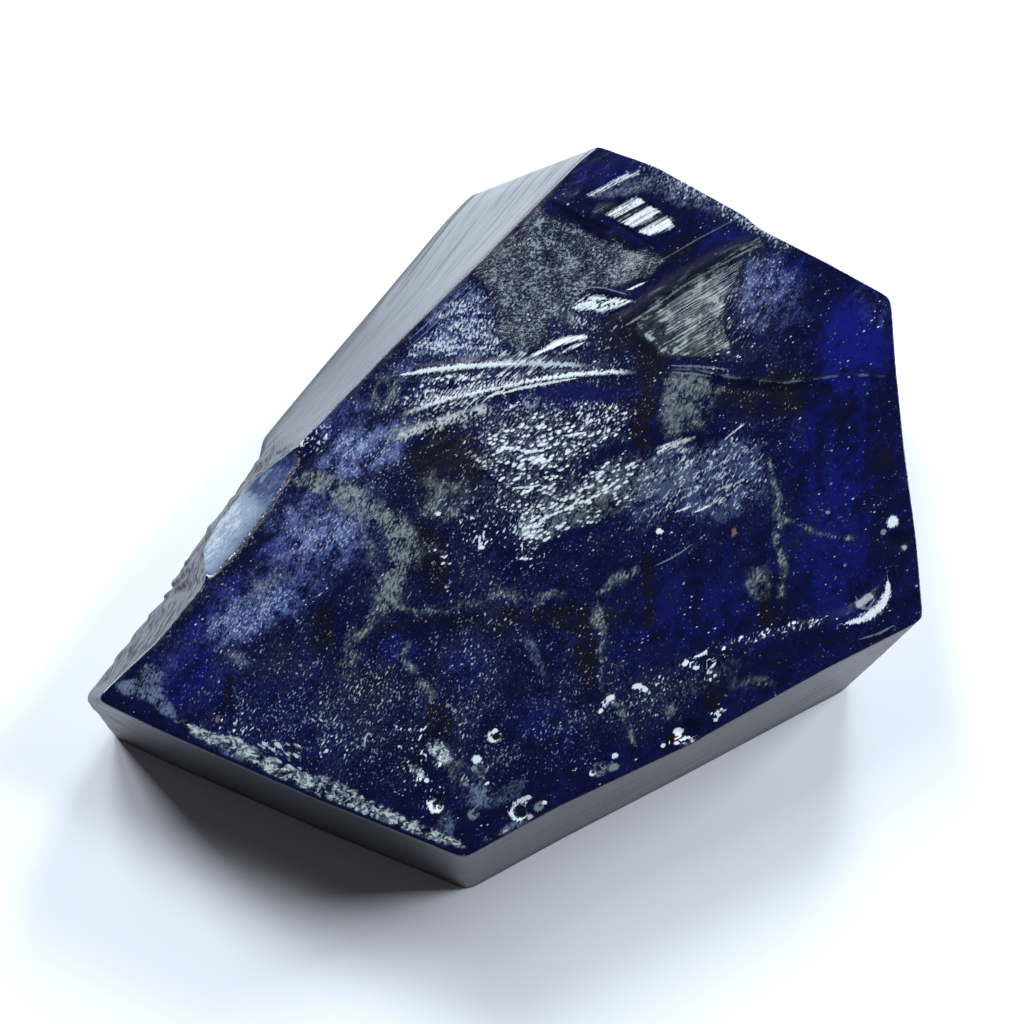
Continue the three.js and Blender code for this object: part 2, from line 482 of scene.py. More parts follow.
SMALL_CRACK = Path(((5.4, 14.0), (6.2, 13.5), (6.9, 13.0), (7.4, 12.6)))

# Crisp white strokes along ledges, ridges and the lip, and fainter ones: mostly painted highlights, a few of
# them crushed stone.
STROKES = Strokes(
    (
        Stroke(
            ((18.46, -4.1), (18.44, -4.73), (18.15, -5.29), (17.61, -5.79), (17.03, -6.05), (16.38, -6.23)),
            0.2,
        ),
        Stroke(((-5.0, 6.15), (-3.23, 6.42), (-1.63, 6.6), (0.9, 6.72)), 0.13),
        Stroke(((3.64, 5.99), (1.75, 5.66), (0.88, 5.48), (-0.05, 5.2)), 0.08),
        Stroke(((-0.8, 4.95), (-0.32, 5.22), (0.2, 5.4)), 0.07),
        Stroke(((4.1, 3.27), (3.53, 3.12), (2.9, 3.07)), 0.07, 0.8),
        Stroke(((0.6, 2.4), (1.27, 2.27), (2.15, 2.37)), 0.07, 0.9),
        Stroke(((2.0, 0.67), (1.27, 0.5), (0.5, 0.47)), 0.06, 0.8),
        Stroke(((2.4, 1.75), (1.8, 1.9), (1.3, 1.75)), 0.07, 0.7),
        Stroke(((6.1, 10.47), (6.98, 10.88)), 0.06),
        Stroke(((10.7, 2.9), (11.25, 3.37), (11.7, 3.7)), 0.05, 0.8),
        Stroke(((10.1, -0.3), (9.67, -0.52), (9.2, -0.75)), 0.05, 0.8),
        Stroke(((8.3, -0.7), (8.75, -0.55), (9.1, -0.4)), 0.05, 0.7),
        Stroke(((9.85, -8.5), (10.2, -8.1)), 0.06),
        Stroke(((9.1, -7.9), (9.65, -7.7), (9.8, -7.5)), 0.08),
        Stroke(((8.4, -11.95), (8.7, -11.75), (9.05, -11.7)), 0.08),
        Stroke(((-3.1, -15.2), (-2.95, -14.95)), 0.1),
        Stroke(((-2.9, -12.5), (-2.9, -13.0)), 0.06, 0.5),
    )
)
FAINT_STROKES = Strokes(
    (
        Stroke(((-4.4, 8.0), (-1.5, 10.75)), 0.04, 0.8),
        Stroke(((-1.0, 10.9), (-4.6, 7.45)), 0.035, 0.6),
        Stroke(((7.3, -3.4), (8.0, -3.05), (8.57, -2.72), (9.15, -2.25)), 0.035, 0.8),
        Stroke(((18.8, -6.25), (18.0, -6.7), (17.0, -7.0)), 0.05, 0.7),
        Stroke(((11.0, 6.45), (9.4, 6.62), (8.1, 6.65)), 0.06, 0.6),
        Stroke(((8.2, 6.3), (9.2, 6.25), (10.2, 6.1)), 0.05, 0.7),
        Stroke(((7.6, 11.9), (9.6, 13.1), (11.8, 14.3)), 0.035, 0.5),
        Stroke(((4.1, 10.65), (5.0, 10.6), (6.1, 10.25)), 0.04, 0.7),
        Stroke(((16.9, -4.8), (17.1, -5.4), (17.5, -5.5), (17.9, -4.9)), 0.08, 0.7),
    )
)
# Chips and burst bubbles: white and grey crushed stone, with painted highlights on some white rims; dark
# chips, partly the stone's own dark grains and partly painted shade in hollows; and rusty grains.
WHITE_CHIPS = Chips(
    (
        Chip(18.75, -1.2, 0.62, 0.5, 60.0),
        Chip(-1.2, -12.85, 0.44, 0.44),
        Chip(-0.37, -11.73, 0.62, 0.56, 20.0, 0.9),
        Chip(-0.3, -11.42, 0.2, 0.18),
        Chip(-3.12, -15.09, 0.68, 0.62, 40.0, 0.88),
        Chip(0.78, -15.4, 0.8, 0.76, 40.0, 0.94),
        Chip(0.86, -14.85, 0.3, 0.26),
        Chip(1.22, -14.66, 0.36, 0.2, 10.0),
        Chip(2.04, -14.91, 0.22, 0.2),
        Chip(-3.55, -13.87, 0.24, 0.22),
        Chip(-0.7, -14.0, 0.26, 0.14, 30.0),
        Chip(5.15, -9.87, 0.5, 0.28, 30.0),
        Chip(4.7, -10.5, 0.3, 0.18, 60.0),
        Chip(6.44, -9.3, 0.46, 0.26, 15.0),
        Chip(6.82, -9.46, 0.28, 0.22, 20.0),
        Chip(8.75, -8.18, 0.4, 0.24, 40.0),
        Chip(9.24, -8.41, 0.34, 0.2, 10.0),
        Chip(10.58, -7.44, 0.22, 0.14, 60.0),
        Chip(8.37, -11.45, 0.5, 0.3, 20.0),
        Chip(8.29, -12.05, 0.28, 0.16, 10.0),
        Chip(7.65, -12.15, 0.24, 0.18, 50.0),
        Chip(5.37, -12.66, 0.34, 0.24, 40.0),
        Chip(4.3, -13.5, 0.3, 0.3, 60.0, 0.6),
        Chip(7.54, -1.66, 0.34, 0.28),
        Chip(-3.06, -0.8, 0.26, 0.22),
        Chip(-1.0, -2.45, 0.28, 0.22),
        Chip(13.95, -6.15, 0.2, 0.14, 30.0),
        Chip(11.41, -6.89, 0.2, 0.13, 50.0),
    )
)
GREY_CHIPS = Chips(
    (
        Chip(1.4, 4.8, 0.74, 0.7, 60.0, 0.9),
        Chip(-1.7, 3.67, 0.4, 0.38, 30.0, 0.85),
        Chip(1.3, 3.4, 0.34, 0.3, 200.0, 0.7),
        Chip(-1.36, -15.49, 0.5, 0.46, 30.0, 0.55),
        Chip(-1.3, -13.29, 0.28, 0.24),
        Chip(1.75, -15.1, 0.5, 0.4, 30.0, 0.3),
        Chip(15.83, 0.72, 0.16, 0.1, 50.0),
        Chip(15.66, -0.72, 0.2, 0.16),
        Chip(16.58, -2.04, 0.24, 0.14, 30.0),
        Chip(16.42, -3.35, 0.2, 0.12, 40.0),
        Chip(18.3, -1.7, 0.3, 0.24, 40.0),
        Chip(-2.23, -10.5, 0.2, 0.2),
        Chip(-2.57, -10.23, 0.2, 0.2),
        Chip(5.3, -13.2, 0.5, 0.3, 20.0),
        Chip(-1.7, -14.05, 0.26, 0.2),
    )
)
# Dark chips: partly dark grains, partly painted shade inside hollows and burst bubbles.
DARK_CHIPS = Chips(
    (
        Chip(19.2, -2.2, 0.6, 0.2, 0.0),
        Chip(18.5, -2.5, 0.4, 0.2, 60.0),
        Chip(8.2, -11.8, 1.2, 0.5, 25.0),
        Chip(-8.0, 0.57, 0.36, 0.26, 30.0),
        Chip(-0.3, -11.75, 0.4, 0.36),
        Chip(1.0, -15.35, 0.5, 0.46),
        Chip(-3.1, -15.0, 0.5, 0.46),
        Chip(4.74, 9.68, 0.12, 0.42, -20.0),
    )
)
RUST = Chips(
    (
        Chip(-13.46, -10.84, 0.34, 0.2, 70.0),
        Chip(11.14, -1.71, 0.42, 0.24, 75.0),
        Chip(-12.55, -7.85, 0.2, 0.14, 30.0),
    )
)

# What each crisp line of the surface follows.
LINES = {
    Line.UPPER_RIDGE: UPPER_RIDGE,
    Line.LOWER_RIDGE: LOWER_RIDGE,
    Line.SHORT_RIDGE: SHORT_RIDGE,
    Line.RIGHT_LINE: RIGHT_LINE,
    Line.LONG_STEP: LONG_STEP,
    Line.FRONT_LEFT: FRONT_LEFT_EDGE,
    Line.FRONT_RIGHT: FRONT_RIGHT_EDGE,
    Line.LEFT: LEFT_EDGE,
    Line.LOWER_LEFT: LOWER_LEFT_EDGE,
    Line.CHIP_EDGE: CHIP_EDGE,
    Line.STROKES: STROKES,
    Line.FAINT_STROKES: FAINT_STROKES,
    Line.WHITE_CHIPS: WHITE_CHIPS,
    Line.GREY_CHIPS: GREY_CHIPS,
    Line.DARK_CHIPS: DARK_CHIPS,
    Line.RUST: RUST,
}

# Small facets, each tilted to the light. Their white is a painted highlight of pale colour, with fine
# striation in it.
LEAF = Area(
    (
        (3.34, 9.6), (3.83, 10.02), (4.24, 10.34), (4.72, 10.3), (5.39, 10.12), (6.6, 9.9), (6.03, 9.7),
        (5.47, 9.48), (4.89, 9.26), (4.24, 9.42), (3.58, 9.42),
    ),
    0.06,
)
UPPER_FLAME = Area(
    (
        (0.9, 6.8), (2.1, 7.61), (2.58, 7.98), (3.31, 8.18), (4.13, 8.21), (4.13, 7.96), (3.26, 7.78),
        (2.58, 7.5), (1.76, 7.15),
    ),
    0.07,
)
LOWER_FLAME = Area(
    ((2.65, 7.15), (3.26, 7.61), (3.82, 7.87), (4.11, 7.96), (3.74, 7.56), (3.26, 7.38)), 0.06
)
FIRST_STRIPE = Area(((4.8, 14.4), (6.6, 15.3), (7.05, 14.9), (5.55, 14.08)), 0.1, 0.65)
SECOND_STRIPE = Area(((5.65, 14.0), (7.2, 14.83), (7.9, 14.4), (6.4, 13.6)), 0.1, 0.75)
THIRD_STRIPE = Area(((6.55, 13.5), (8.05, 14.3), (8.45, 13.7), (7.3, 13.15)), 0.1, 0.75)
TOP_STREAK = Area(((4.0, 15.3), (5.8, 16.3), (6.9, 16.7), (6.6, 16.3), (5.4, 15.75), (4.5, 15.2)), 0.12, 0.6)
GLANCE = Area(
    (
        (7.4, 2.4), (7.69, 2.62), (8.3, 2.82), (9.05, 3.06), (9.5, 3.14), (9.29, 2.9), (8.35, 2.48),
        (7.5, 2.15),
    ),
    0.1,
    0.9,
)
TILTED_FACETS = (
    Facet(LEAF, 4.0, 0.33),
    Facet(UPPER_FLAME, 25.0, 0.3),
    Facet(LOWER_FLAME, 25.0, 0.3),
    Facet(FIRST_STRIPE, 27.0, 0.3),
    Facet(SECOND_STRIPE, 27.0, 0.3),
    Facet(THIRD_STRIPE, 27.0, 0.3),
    Facet(TOP_STREAK, 25.0, 0.25),
    Facet(GLANCE, 22.0, 0.25),
)


@dataclass(frozen=True)
class BrokenFace:
    """The broad upper face: a glassy break whose ledges fan out from one point right of the middle."""

    thickness: float = 6.5
    wave: float = 0.04
    wave_turns: tuple = ((0.35, 0.21, 0.0), (-0.23, 0.52, 1.3))
    fine_lumps: tuple = ((0.012, 2.3, 1), (0.004, 0.9, 2))
    chip_slope: float = 0.82
    chip_ends: tuple[float, float] = (0.1, 0.06)
    forms: tuple = (
        Scarp(LONG_STEP, 0.34, 0.7, 3.0),
        Scarp(RIGHT_LINE, 0.14, 0.5, 1.6),
        Scarp(LOWER_STEP, 0.16, 0.4, 1.8),
        Scarp(Path(((7.4, 12.6), (5.3, 13.4), (2.4, 15.0))), 0.2, 0.6, 2.4),
        Scarp(Path(tuple(reversed(LIP.points))), 0.14, 0.8, 3.5),
        Ridge(UPPER_RIDGE, 0.03, 0.2, 0.3),
        Ridge(LOWER_RIDGE, 0.05, 0.22, 0.3),
        Ridge(SHORT_RIDGE, 0.03, 0.2, 0.3),
        Groove(CRACK, 0.05, 0.16),
        Groove(SMALL_CRACK, 0.03, 0.09),
        Hollow((-2.9, -12.3), 0.9, 0.12),
        Hollow((-3.95, -13.35), 0.55, 0.14),
        Hollow((-3.15, -14.9), 0.55, 0.18),
        Hollow((1.1, -15.25), 0.8, 0.12),
        Hollow((8.85, -11.6), 0.8, 0.2),
        Hollow((18.95, -2.2), 0.7, 0.08),
        Hollow((0.35, 4.75), 0.35, 0.08),
        *TILTED_FACETS,
    )

    def height(self, x: Array, y: Array) -> Array:
        """The face's height: its mean plane, two broad waves, lumps, each form, and the fall of the chip.

        A wave is the sine of a x + b y + c, where a and b turn it. A lump has a height, a size and a seed.

        Args:
            x, y: the places, in mm.

        Returns:
            The height at each place, in mm.
        """
        z = self.thickness + self.wave * sum(np.sin(a * x + b * y + c) for a, b, c in self.wave_turns)
        z += sum(height * lumps(x, y, size, seed) for height, size, seed in self.fine_lumps)
        for form in self.forms:
            z += form.rise(x, y)
        distance, along, _ = CHIP_EDGE.against(x, y)
        z -= self.chip_slope * np.maximum(-distance, 0.0) * fading(along, *self.chip_ends)
        return z


# Where each mark lies on the broad face. Where forms overlap, their strengths add up to one at most.
MARKS = {
    Mark.ROYAL: (
        Patch((16.8, 7.6), 3.6, 4.4),
        Patch((16.2, 2.6), 4.6, 6.0, 0.0, 0.6),
        Patch((16.0, -3.2), 4.6, 6.0, 0.0, 0.5),
        Patch((9.4, -5.6), 6.0, 4.4, 0.0, 0.4),
        Patch((5.4, 16.6), 4.4, 1.6, 20.0, 0.6),
        Patch((10.9, 12.9), 3.4, 1.0, 28.0, 0.6),
        Patch((13.6, 12.0), 2.4, 1.6, -30.0, 0.5),
        Patch((-10.9, -2.6), 1.9, 1.2, 20.0),
        Patch((-13.0, -4.4), 2.0, 0.9, 35.0),
        Patch((-14.3, -6.2), 2.4, 1.2, 35.0, 0.9),
        Patch((-15.0, -8.8), 4.4, 3.0, 35.0, 0.6),
        Patch((-10.5, -11.0), 9.0, 4.4, -25.0, 0.4),
        Patch((-5.0, -7.6), 2.0, 2.0, 0.0, 0.6),
        Patch((-1.6, -8.4), 3.0, 3.0, 0.0, 0.5),
        Patch((2.0, -11.4), 4.0, 3.0, 0.0, 0.5),
        Patch((6.0, -7.6), 2.0, 3.0, 0.0, 0.4),
        Patch((-9.0, -8.0), 1.6, 2.4, 0.0, 0.4),
        Patch((2.5, 4.9), 7.0, 1.4, 5.0, 0.5),
        Patch((-1.0, 6.0), 5.0, 0.9, 8.0, 0.7),
        Patch((-2.4, 8.4), 4.0, 2.6, 30.0, 0.8),
        Patch((4.0, 9.0), 3.0, 0.6, 15.0, 0.5),
        Patch((3.2, -1.6), 2.2, 1.4, 30.0, 0.6),
        Patch((1.2, 2.0), 2.4, 2.0, 0.0, 0.4),
        Patch((-8.3, 4.2), 2.4, 1.4, 45.0, 0.5),
    ),
    # Pale zones: partly dust, partly painted sheen.
    Mark.DUST_AND_SHEEN: (
        Patch((-6.4, 2.4), 5.2, 2.0, 24.0, 0.9),
        Patch((-7.6, 3.9), 2.6, 3.0, -45.0, 0.5),
        Patch((-10.0, -4.2), 5.4, 3.4, 40.0, 0.6),
        Patch((-8.6, -0.9), 5.6, 3.4, 20.0, 0.7),
        Patch((-12.4, -6.0), 4.4, 2.0, 30.0, 0.9),
        Patch((-13.6, -5.1), 1.6, 0.8, 30.0, 0.5),
        Patch((-15.8, -7.9), 3.0, 1.6, 40.0, 0.4),
        Patch((-6.6, -2.4), 3.4, 3.4, 0.0, 0.35),
        Area(
            ((11.7, 11.9), (13.2, 12.4), (14.6, 11.2), (14.6, 9.3), (13.0, 8.4), (11.7, 9.0), (11.2, 10.4)),
            0.8,
            0.65,
        ),
        Patch((17.9, 9.6), 1.8, 2.4, 20.0, 0.35),
        Patch((-2.6, 9.6), 3.0, 2.4, 40.0, 0.6),
        Patch((-3.6, 7.2), 3.4, 1.6, 20.0, 0.4),
        Patch((-4.8, 5.4), 3.0, 2.0, 20.0, 0.4),
    ),
    Mark.DARK: (
        Patch((7.3, 6.9), 2.2, 2.6),
        Patch((6.2, 8.4), 3.4, 1.8, 20.0, 0.9),
        Patch((13.9, 5.4), 2.0, 2.4, 0.0, 0.8),
        Patch((11.8, 5.2), 3.4, 2.4, 0.0, 0.5),
        Patch((1.6, -5.9), 9.0, 1.2, 4.0, 0.6),
        Patch((4.0, -7.7), 1.2, 3.4, 0.0, 0.8),
        Patch((12.5, -5.4), 1.4, 1.8, 0.0, 0.9),
        Patch((-3.4, -2.6), 1.6, 4.0, 10.0, 0.8),
        Patch((-2.6, 1.6), 3.4, 3.6, 10.0, 0.9),
        Patch((18.3, 2.2), 1.4, 1.4, 0.0, 0.6),
        Patch((-8.6, -6.5), 1.2, 3.0, -10.0, 0.7),
        Patch((-6.2, -9.8), 1.2, 2.4, -30.0, 0.4),
        Patch((6.9, 3.4), 1.0, 5.0, 0.0, 0.9),
        Patch((1.0, 8.6), 1.0, 2.6, 0.0, 0.6),
        Patch((8.4, 12.4), 3.6, 0.7, 27.0, 0.7),
        Patch((9.6, 12.0), 4.4, 0.7, 31.0, 0.6),
        Patch((-3.0, -11.0), 1.4, 1.6, -30.0, 0.9),
        Patch((-4.2, -12.8), 1.4, 2.0, -20.0, 0.5),
        Patch((10.2, -10.0), 1.2, 1.6, 0.0, 0.6),
        Patch((9.3, 1.6), 1.4, 2.0, 0.0, 0.3),
        Patch((5.6, 4.6), 2.0, 1.4, 0.0, 0.6),
        Patch((0.2, 12.0), 4.0, 2.0, 45.0, 0.3),
        Streak(((7.0, -2.5), (6.9, -5.0), (7.0, -7.0)), 0.5, 0.7),
        Streak(((-13.1, -8.6), (-13.15, -9.5), (-13.2, -10.8)), 0.4, 0.8),
        Streak(((-6.3, -6.6), (-4.2, -6.0), (-1.0, -5.8)), 0.5, 0.5),
    ),
    Mark.VEIN: (
        Streak(((-10.3, 1.1), (-8.3, 0.6), (-6.7, -0.1), (-5.3, -1.4), (-4.8, -3.1), (-5.4, -5.1)), 1.2),
        Streak(((-8.3, 0.6), (-6.5, -1.7), (-6.4, -3.6), (-5.7, -5.1)), 0.8, 0.6),
        Streak(((-4.9, -3.2), (-5.4, -5.1), (-6.6, -6.3), (-7.3, -7.4), (-7.9, -9.8)), 0.8, 0.8),
        Streak(((-5.67, -5.07), (-3.99, -5.56), (-2.32, -5.32), (-0.65, -5.07), (4.6, -4.7)), 0.6, 0.6),
        Streak(((-4.7, -6.7), (-4.82, -8.1), (-3.7, -9.3), (-3.1, -10.6)), 0.5, 0.9),
        Streak(((6.9, -3.6), (5.57, -3.84), (4.75, -4.58), (4.6, -6.05), (4.93, -7.53)), 0.55, 0.8),
        Streak(((4.75, -6.6), (4.82, -9.24), (5.62, -10.45), (6.09, -11.42), (6.7, -12.39)), 0.3, 0.9),
        Streak(((12.9, 2.4), (13.05, 1.37), (13.27, -0.62), (13.47, -3.1), (13.47, -6.3)), 0.5, 0.8),
        Streak(((13.3, -1.2), (15.17, -1.51), (16.8, -1.86)), 0.35, 0.7),
        Patch((-4.7, -1.9), 1.7, 2.4, 40.0, 0.6),
        Patch((-11.3, -4.6), 3.6, 0.9, 35.0, 0.5),
        Patch((-9.0, 0.7), 3.0, 0.7, 0.0, 0.6),
        Patch((12.1, -4.2), 1.6, 2.0, 0.0, 0.6),
        Patch((-5.6, 5.3), 1.6, 2.4, -40.0, 0.6),
        Patch((-2.8, 0.0), 2.6, 2.6, -30.0, 0.6),
        Patch((-4.8, 3.1), 2.0, 0.6, 20.0, 0.5),
    ),
    Mark.HAZE: (
        Patch((5.2, 0.0), 7.4, 2.0, 24.0, 0.7),
        Patch((8.0, 0.9), 3.4, 2.4, 14.0, 0.8),
        Area(
            ((7.7, 5.9), (9.5, 6.3), (10.6, 5.4), (10.1, 4.1), (9.1, 3.4), (7.9, 3.0), (7.5, 4.4)),
            0.4,
            0.9,
        ),
        Patch((3.0, 9.2), 1.2, 0.9, 10.0, 0.9),
        Patch((-1.6, -13.3), 2.6, 1.4, 0.0, 0.5),
        Patch((9.2, -9.4), 6.0, 1.2, 25.0, 0.4),
        Patch((0.4, 1.0), 2.4, 2.0, 0.0, 0.3),
        Patch((8.3, -10.6), 1.2, 0.9, 0.0, 0.6),
        Patch((2.2, 7.3), 2.4, 1.0, 20.0, 0.3),
        Patch((11.9, -9.3), 2.6, 0.9, 15.0, 0.5),
        Patch((14.5, -6.1), 1.0, 0.5, 0.0, 0.6),
    ),
    Mark.SPECKS: (
        Patch((-9.0, -4.0), 17.0, 20.0, 0.0, 0.35),
        Patch((-8.0, -12.6), 16.0, 3.4, -25.0, 0.2),
        Patch((-4.0, -11.0), 10.0, 5.0, -25.0, 0.2),
        Patch((0.6, 6.0), 13.0, 15.0, 0.0, 0.5),
        Patch((2.0, -8.0), 10.0, 9.0, 20.0, 0.3),
        Patch((8.4, -9.6), 7.0, 2.4, 28.0, 0.4),
        Patch((4.4, -9.8), 6.0, 3.4, 25.0, 0.15),
        Patch((1.2, -13.0), 6.0, 2.6, 25.0, 0.3),
        Patch((12.5, 6.0), 5.0, 14.0, 0.0, 0.3),
        Patch((12.9, 11.0), 4.0, 2.6, -30.0, 0.3),
        Patch((10.6, 14.8), 9.0, 1.0, -30.0, 0.8),
        Patch((5.6, 16.6), 4.4, 1.0, 15.0, 0.3),
        Patch((-2.6, 1.9), 4.0, 3.2, 10.0, -0.3),
        Patch((7.4, -2.0), 7.0, 3.0, 15.0, 0.25),
    ),
    # Where white glints are painted, over a little relief.
    Mark.GLINT: (
        Patch((2.0, 2.8), 9.0, 4.4, 0.0, 0.5),
        Patch((-0.6, -1.4), 5.0, 3.0, 20.0, 0.6),
        Patch((5.4, 4.4), 3.0, 1.2, 0.0, 0.7),
        Patch((-2.6, 5.4), 7.0, 1.8, 14.0, 0.7),
        Patch((1.6, -2.2), 2.0, 3.4, 0.0, 0.6),
        Patch((9.0, 15.3), 5.0, 1.1, -30.0, 0.4),
        Patch((12.9, 13.2), 4.0, 0.7, -30.0, 0.3),
        Patch((-4.0, -12.6), 3.4, 4.6, 0.0, 0.6),
        Patch((6.4, -10.6), 6.0, 2.0, 28.0, 0.3),
        Patch((13.4, -6.4), 6.4, 1.1, 6.0, 0.55),
        Patch((8.0, -2.2), 8.0, 2.4, 15.0, 0.35),
        Patch((9.8, -8.2), 3.4, 1.6, 30.0, 0.4),
        Patch((-8.9, 3.0), 2.0, 2.4, -40.0, 0.7),
        Patch((-12.0, -11.6), 5.0, 1.4, -28.0, 0.6),
        Patch((-8.2, -12.4), 2.4, 1.6, -20.0, 0.6),
        Patch((10.4, -10.8), 0.9, 0.4, 20.0),
        Patch((7.4, -9.0), 0.8, 0.5, 20.0),
        Patch((9.9, -9.1), 0.6, 0.5, 20.0),
        Patch((11.6, 9.2), 5.0, 3.0, 30.0, 0.4),
        Patch((-0.9, -2.2), 0.6, 1.0, 20.0),
        Patch((14.6, 3.4), 5.0, 5.0, 0.0, 0.2),
    ),
    Mark.LEVEL: (
        Area(
            (
                (-0.6, 3.4), (0.6, 4.4), (3.5, 4.3), (6.2, 4.5), (6.2, 2.9), (4.8, 2.4), (2.8, 1.2),
                (1.0, 0.6), (-0.6, 1.6),
            ),
            0.9,
            0.85,
        ),
        Streak(((0.4, 2.3), (1.56, 2.4), (2.8, 2.65), (3.9, 2.7)), 0.5, 0.5),
        Streak(((-1.0, 3.1), (-0.57, 2.9), (0.68, 2.4), (1.7, 1.5)), 0.4, 0.8),
        Streak(((-1.9, 2.3), (-1.57, 2.06), (-0.2, 1.28), (1.3, 0.35)), 0.5, 0.9),
        Streak(((0.8, -0.6), (1.2, -1.6), (1.5, -2.7), (1.4, -3.6)), 0.9, 0.9),
        Streak(((-3.4, -2.1), (-2.9, -2.7), (-2.6, -3.3)), 0.7, 0.9),
        Patch((-2.2, 5.95), 3.6, 0.6, 7.0, 0.9),
        Patch((1.4, 9.0), 3.0, 0.8, 20.0, 0.5),
        Patch((-1.9, 4.6), 2.6, 0.5, 16.0, 0.8),
        Patch((1.4, 0.2), 3.4, 1.6, 20.0, 0.7),
    ),
    Mark.RISING: (
        Area(
            (
                (0.6, -0.7), (2.8, 0.8), (4.8, 1.7), (6.6, 2.1), (6.9, 0.8), (6.4, -0.4), (4.8, -0.7),
                (3.4, -1.2), (1.8, -2.0), (0.8, -2.2),
            ),
            0.9,
            0.85,
        ),
        Streak(((0.4, -1.6), (2.05, -2.3), (3.5, -1.5), (5.3, -0.8)), 0.6, 0.7),
        Patch((10.9, 7.4), 3.0, 1.0, 28.0, 0.4),
    ),
    Mark.WOVEN: (
        Area(
            (
                (6.2, 2.0), (8.3, 2.8), (10.4, 3.1), (12.35, 2.9), (12.9, 1.4), (12.7, -0.1), (10.9, -1.0),
                (8.0, -1.2), (6.2, -1.6),
            ),
            0.8,
            0.9,
        ),
    ),
    Mark.FAN: (
        Area(
            (
                (-4.6, 7.2), (-3.6, 8.3), (-3.25, 9.09), (-2.24, 10.14), (-1.36, 10.6), (-0.47, 10.14),
                (0.0, 8.8), (0.1, 7.64), (-0.4, 7.0), (-2.36, 6.85), (-4.2, 6.9),
            ),
            0.4,
            0.7,
        ),
        Streak(((-4.6, 7.4), (-3.6, 7.75), (-2.0, 7.85), (0.2, 8.05)), 0.6),
        Streak(((-2.8, 8.55), (-1.4, 8.7), (0.1, 8.85)), 0.4, 0.8),
        Streak(((-3.6, 9.2), (-2.4, 9.45), (-0.8, 9.65)), 0.5, 0.7),
        Patch((-2.2, 7.2), 4.0, 0.7, 3.0, 0.3),
    ),
    Mark.SCALES: (
        Area(
            ((-11.9, -12.3), (-11.2, -11.9), (-9.8, -12.0), (-9.2, -13.1), (-9.7, -13.7), (-11.0, -13.1)),
            0.3,
            0.95,
        ),
        Streak(((-9.4, -10.9), (-8.7, -11.0), (-8.1, -11.4), (-7.7, -12.2)), 0.9, 0.7),
    ),
    Mark.HATCH: (
        Area(((-0.2, 7.5), (1.9, 7.5), (3.4, 6.6), (1.71, 6.05), (-0.42, 5.75), (-0.6, 6.4)), 0.3, 1.0),
        Area(((-2.8, 5.0), (-0.9, 5.3), (-0.2, 5.2), (-0.9, 4.7), (-2.9, 4.3), (-3.8, 4.3)), 0.25, 1.0),
    ),
    Mark.GRAIN: (
        Area(
            (
                (2.1, 14.6), (4.1, 13.5), (5.6, 13.0), (7.0, 12.5), (8.0, 11.9), (7.0, 11.0), (5.8, 10.5),
                (4.1, 10.3), (3.2, 9.6), (2.5, 9.0), (2.2, 7.9), (1.0, 7.2), (0.1, 8.0), (-0.1, 9.6),
                (-0.7, 10.5), (-1.4, 11.1), (-0.6, 12.1), (0.8, 13.3),
            ),
            0.4,
        ),
    ),
    Mark.STRIA: (
        Area(
            (
                (7.0, 10.1), (9.5, 11.65), (12.4, 13.2), (12.7, 12.8), (12.0, 12.2), (11.1, 10.45),
                (10.8, 8.9), (10.9, 7.7), (8.4, 6.8), (7.9, 6.8), (6.85, 8.2),
            ),
            0.2,
        ),
        Area(((4.6, 14.3), (5.0, 14.8), (6.9, 15.1), (8.4, 13.9), (7.3, 13.2), (6.0, 14.0)), 0.3, 0.9),
    ),
    # A painted highlight covers the tilted facets.
    Mark.FACET_HIGHLIGHT: tuple(facet.area for facet in TILTED_FACETS),
    Mark.FILM: (
        Area(
            (
                (-18.6, -9.35), (-17.56, -9.1), (-16.57, -9.5), (-15.94, -10.25), (-15.6, -10.9),
                (-16.43, -10.6), (-17.3, -10.2), (-18.2, -9.7),
            ),
            0.15,
        ),
        Patch((-16.8, -8.85), 1.3, 0.8, -20.0, 0.9),
        Patch((-12.6, -7.84), 0.9, 0.8, 0.0, 0.7),
        Patch((8.8, 15.4), 5.0, 1.2, -30.0, 0.5),
        Patch((6.0, 15.7), 3.0, 0.7, 27.0, 0.6),
        Patch((-1.1, -14.45), 1.5, 1.1, 20.0, 0.9),
        Patch((0.2, -14.6), 2.4, 0.6, 25.0, 0.5),
        Patch((-2.6, -15.7), 0.9, 1.2, -20.0, 0.6),
        Patch((0.6, -16.1), 2.0, 0.6, 25.0, 0.9),
        Patch((1.8, -8.0), 0.6, 2.0, 20.0, 0.5),
        Patch((-12.9, -12.2), 3.0, 0.8, -28.0, 0.5),
    ),
    Mark.CRUST: (
        Patch((-2.9, -12.4), 1.7, 0.9, -40.0),
        Patch((-4.0, -13.35), 0.9, 0.5, -35.0),
        Area(
            (
                (-15.8, -10.8), (-14.68, -11.62), (-13.44, -12.25), (-12.2, -12.77), (-11.2, -13.38),
                (-9.72, -14.13), (-7.72, -15.05), (-6.49, -15.55), (-4.65, -16.19), (-3.17, -16.8),
                (-1.6, -17.2), (-1.7, -16.8), (-3.1, -16.1), (-4.4, -15.65), (-6.0, -14.9), (-7.4, -14.1),
                (-8.9, -13.5), (-10.2, -13.2), (-11.3, -12.5), (-12.4, -11.8), (-13.6, -11.5),
                (-14.8, -11.0),
            ),
            0.12,
        ),
        Streak(
            ((-1.2, -17.0), (-0.1, -16.4), (1.6, -15.85), (2.7, -15.4), (4.1, -14.7), (6.4, -13.2)),
            0.3,
            0.7,
        ),
        Streak(((-8.1, 0.7), (-7.2, 0.2), (-6.6, 0.1)), 0.3, 0.8),
        Patch((4.8, -13.2), 1.4, 0.8, 20.0, 0.6),
    ),
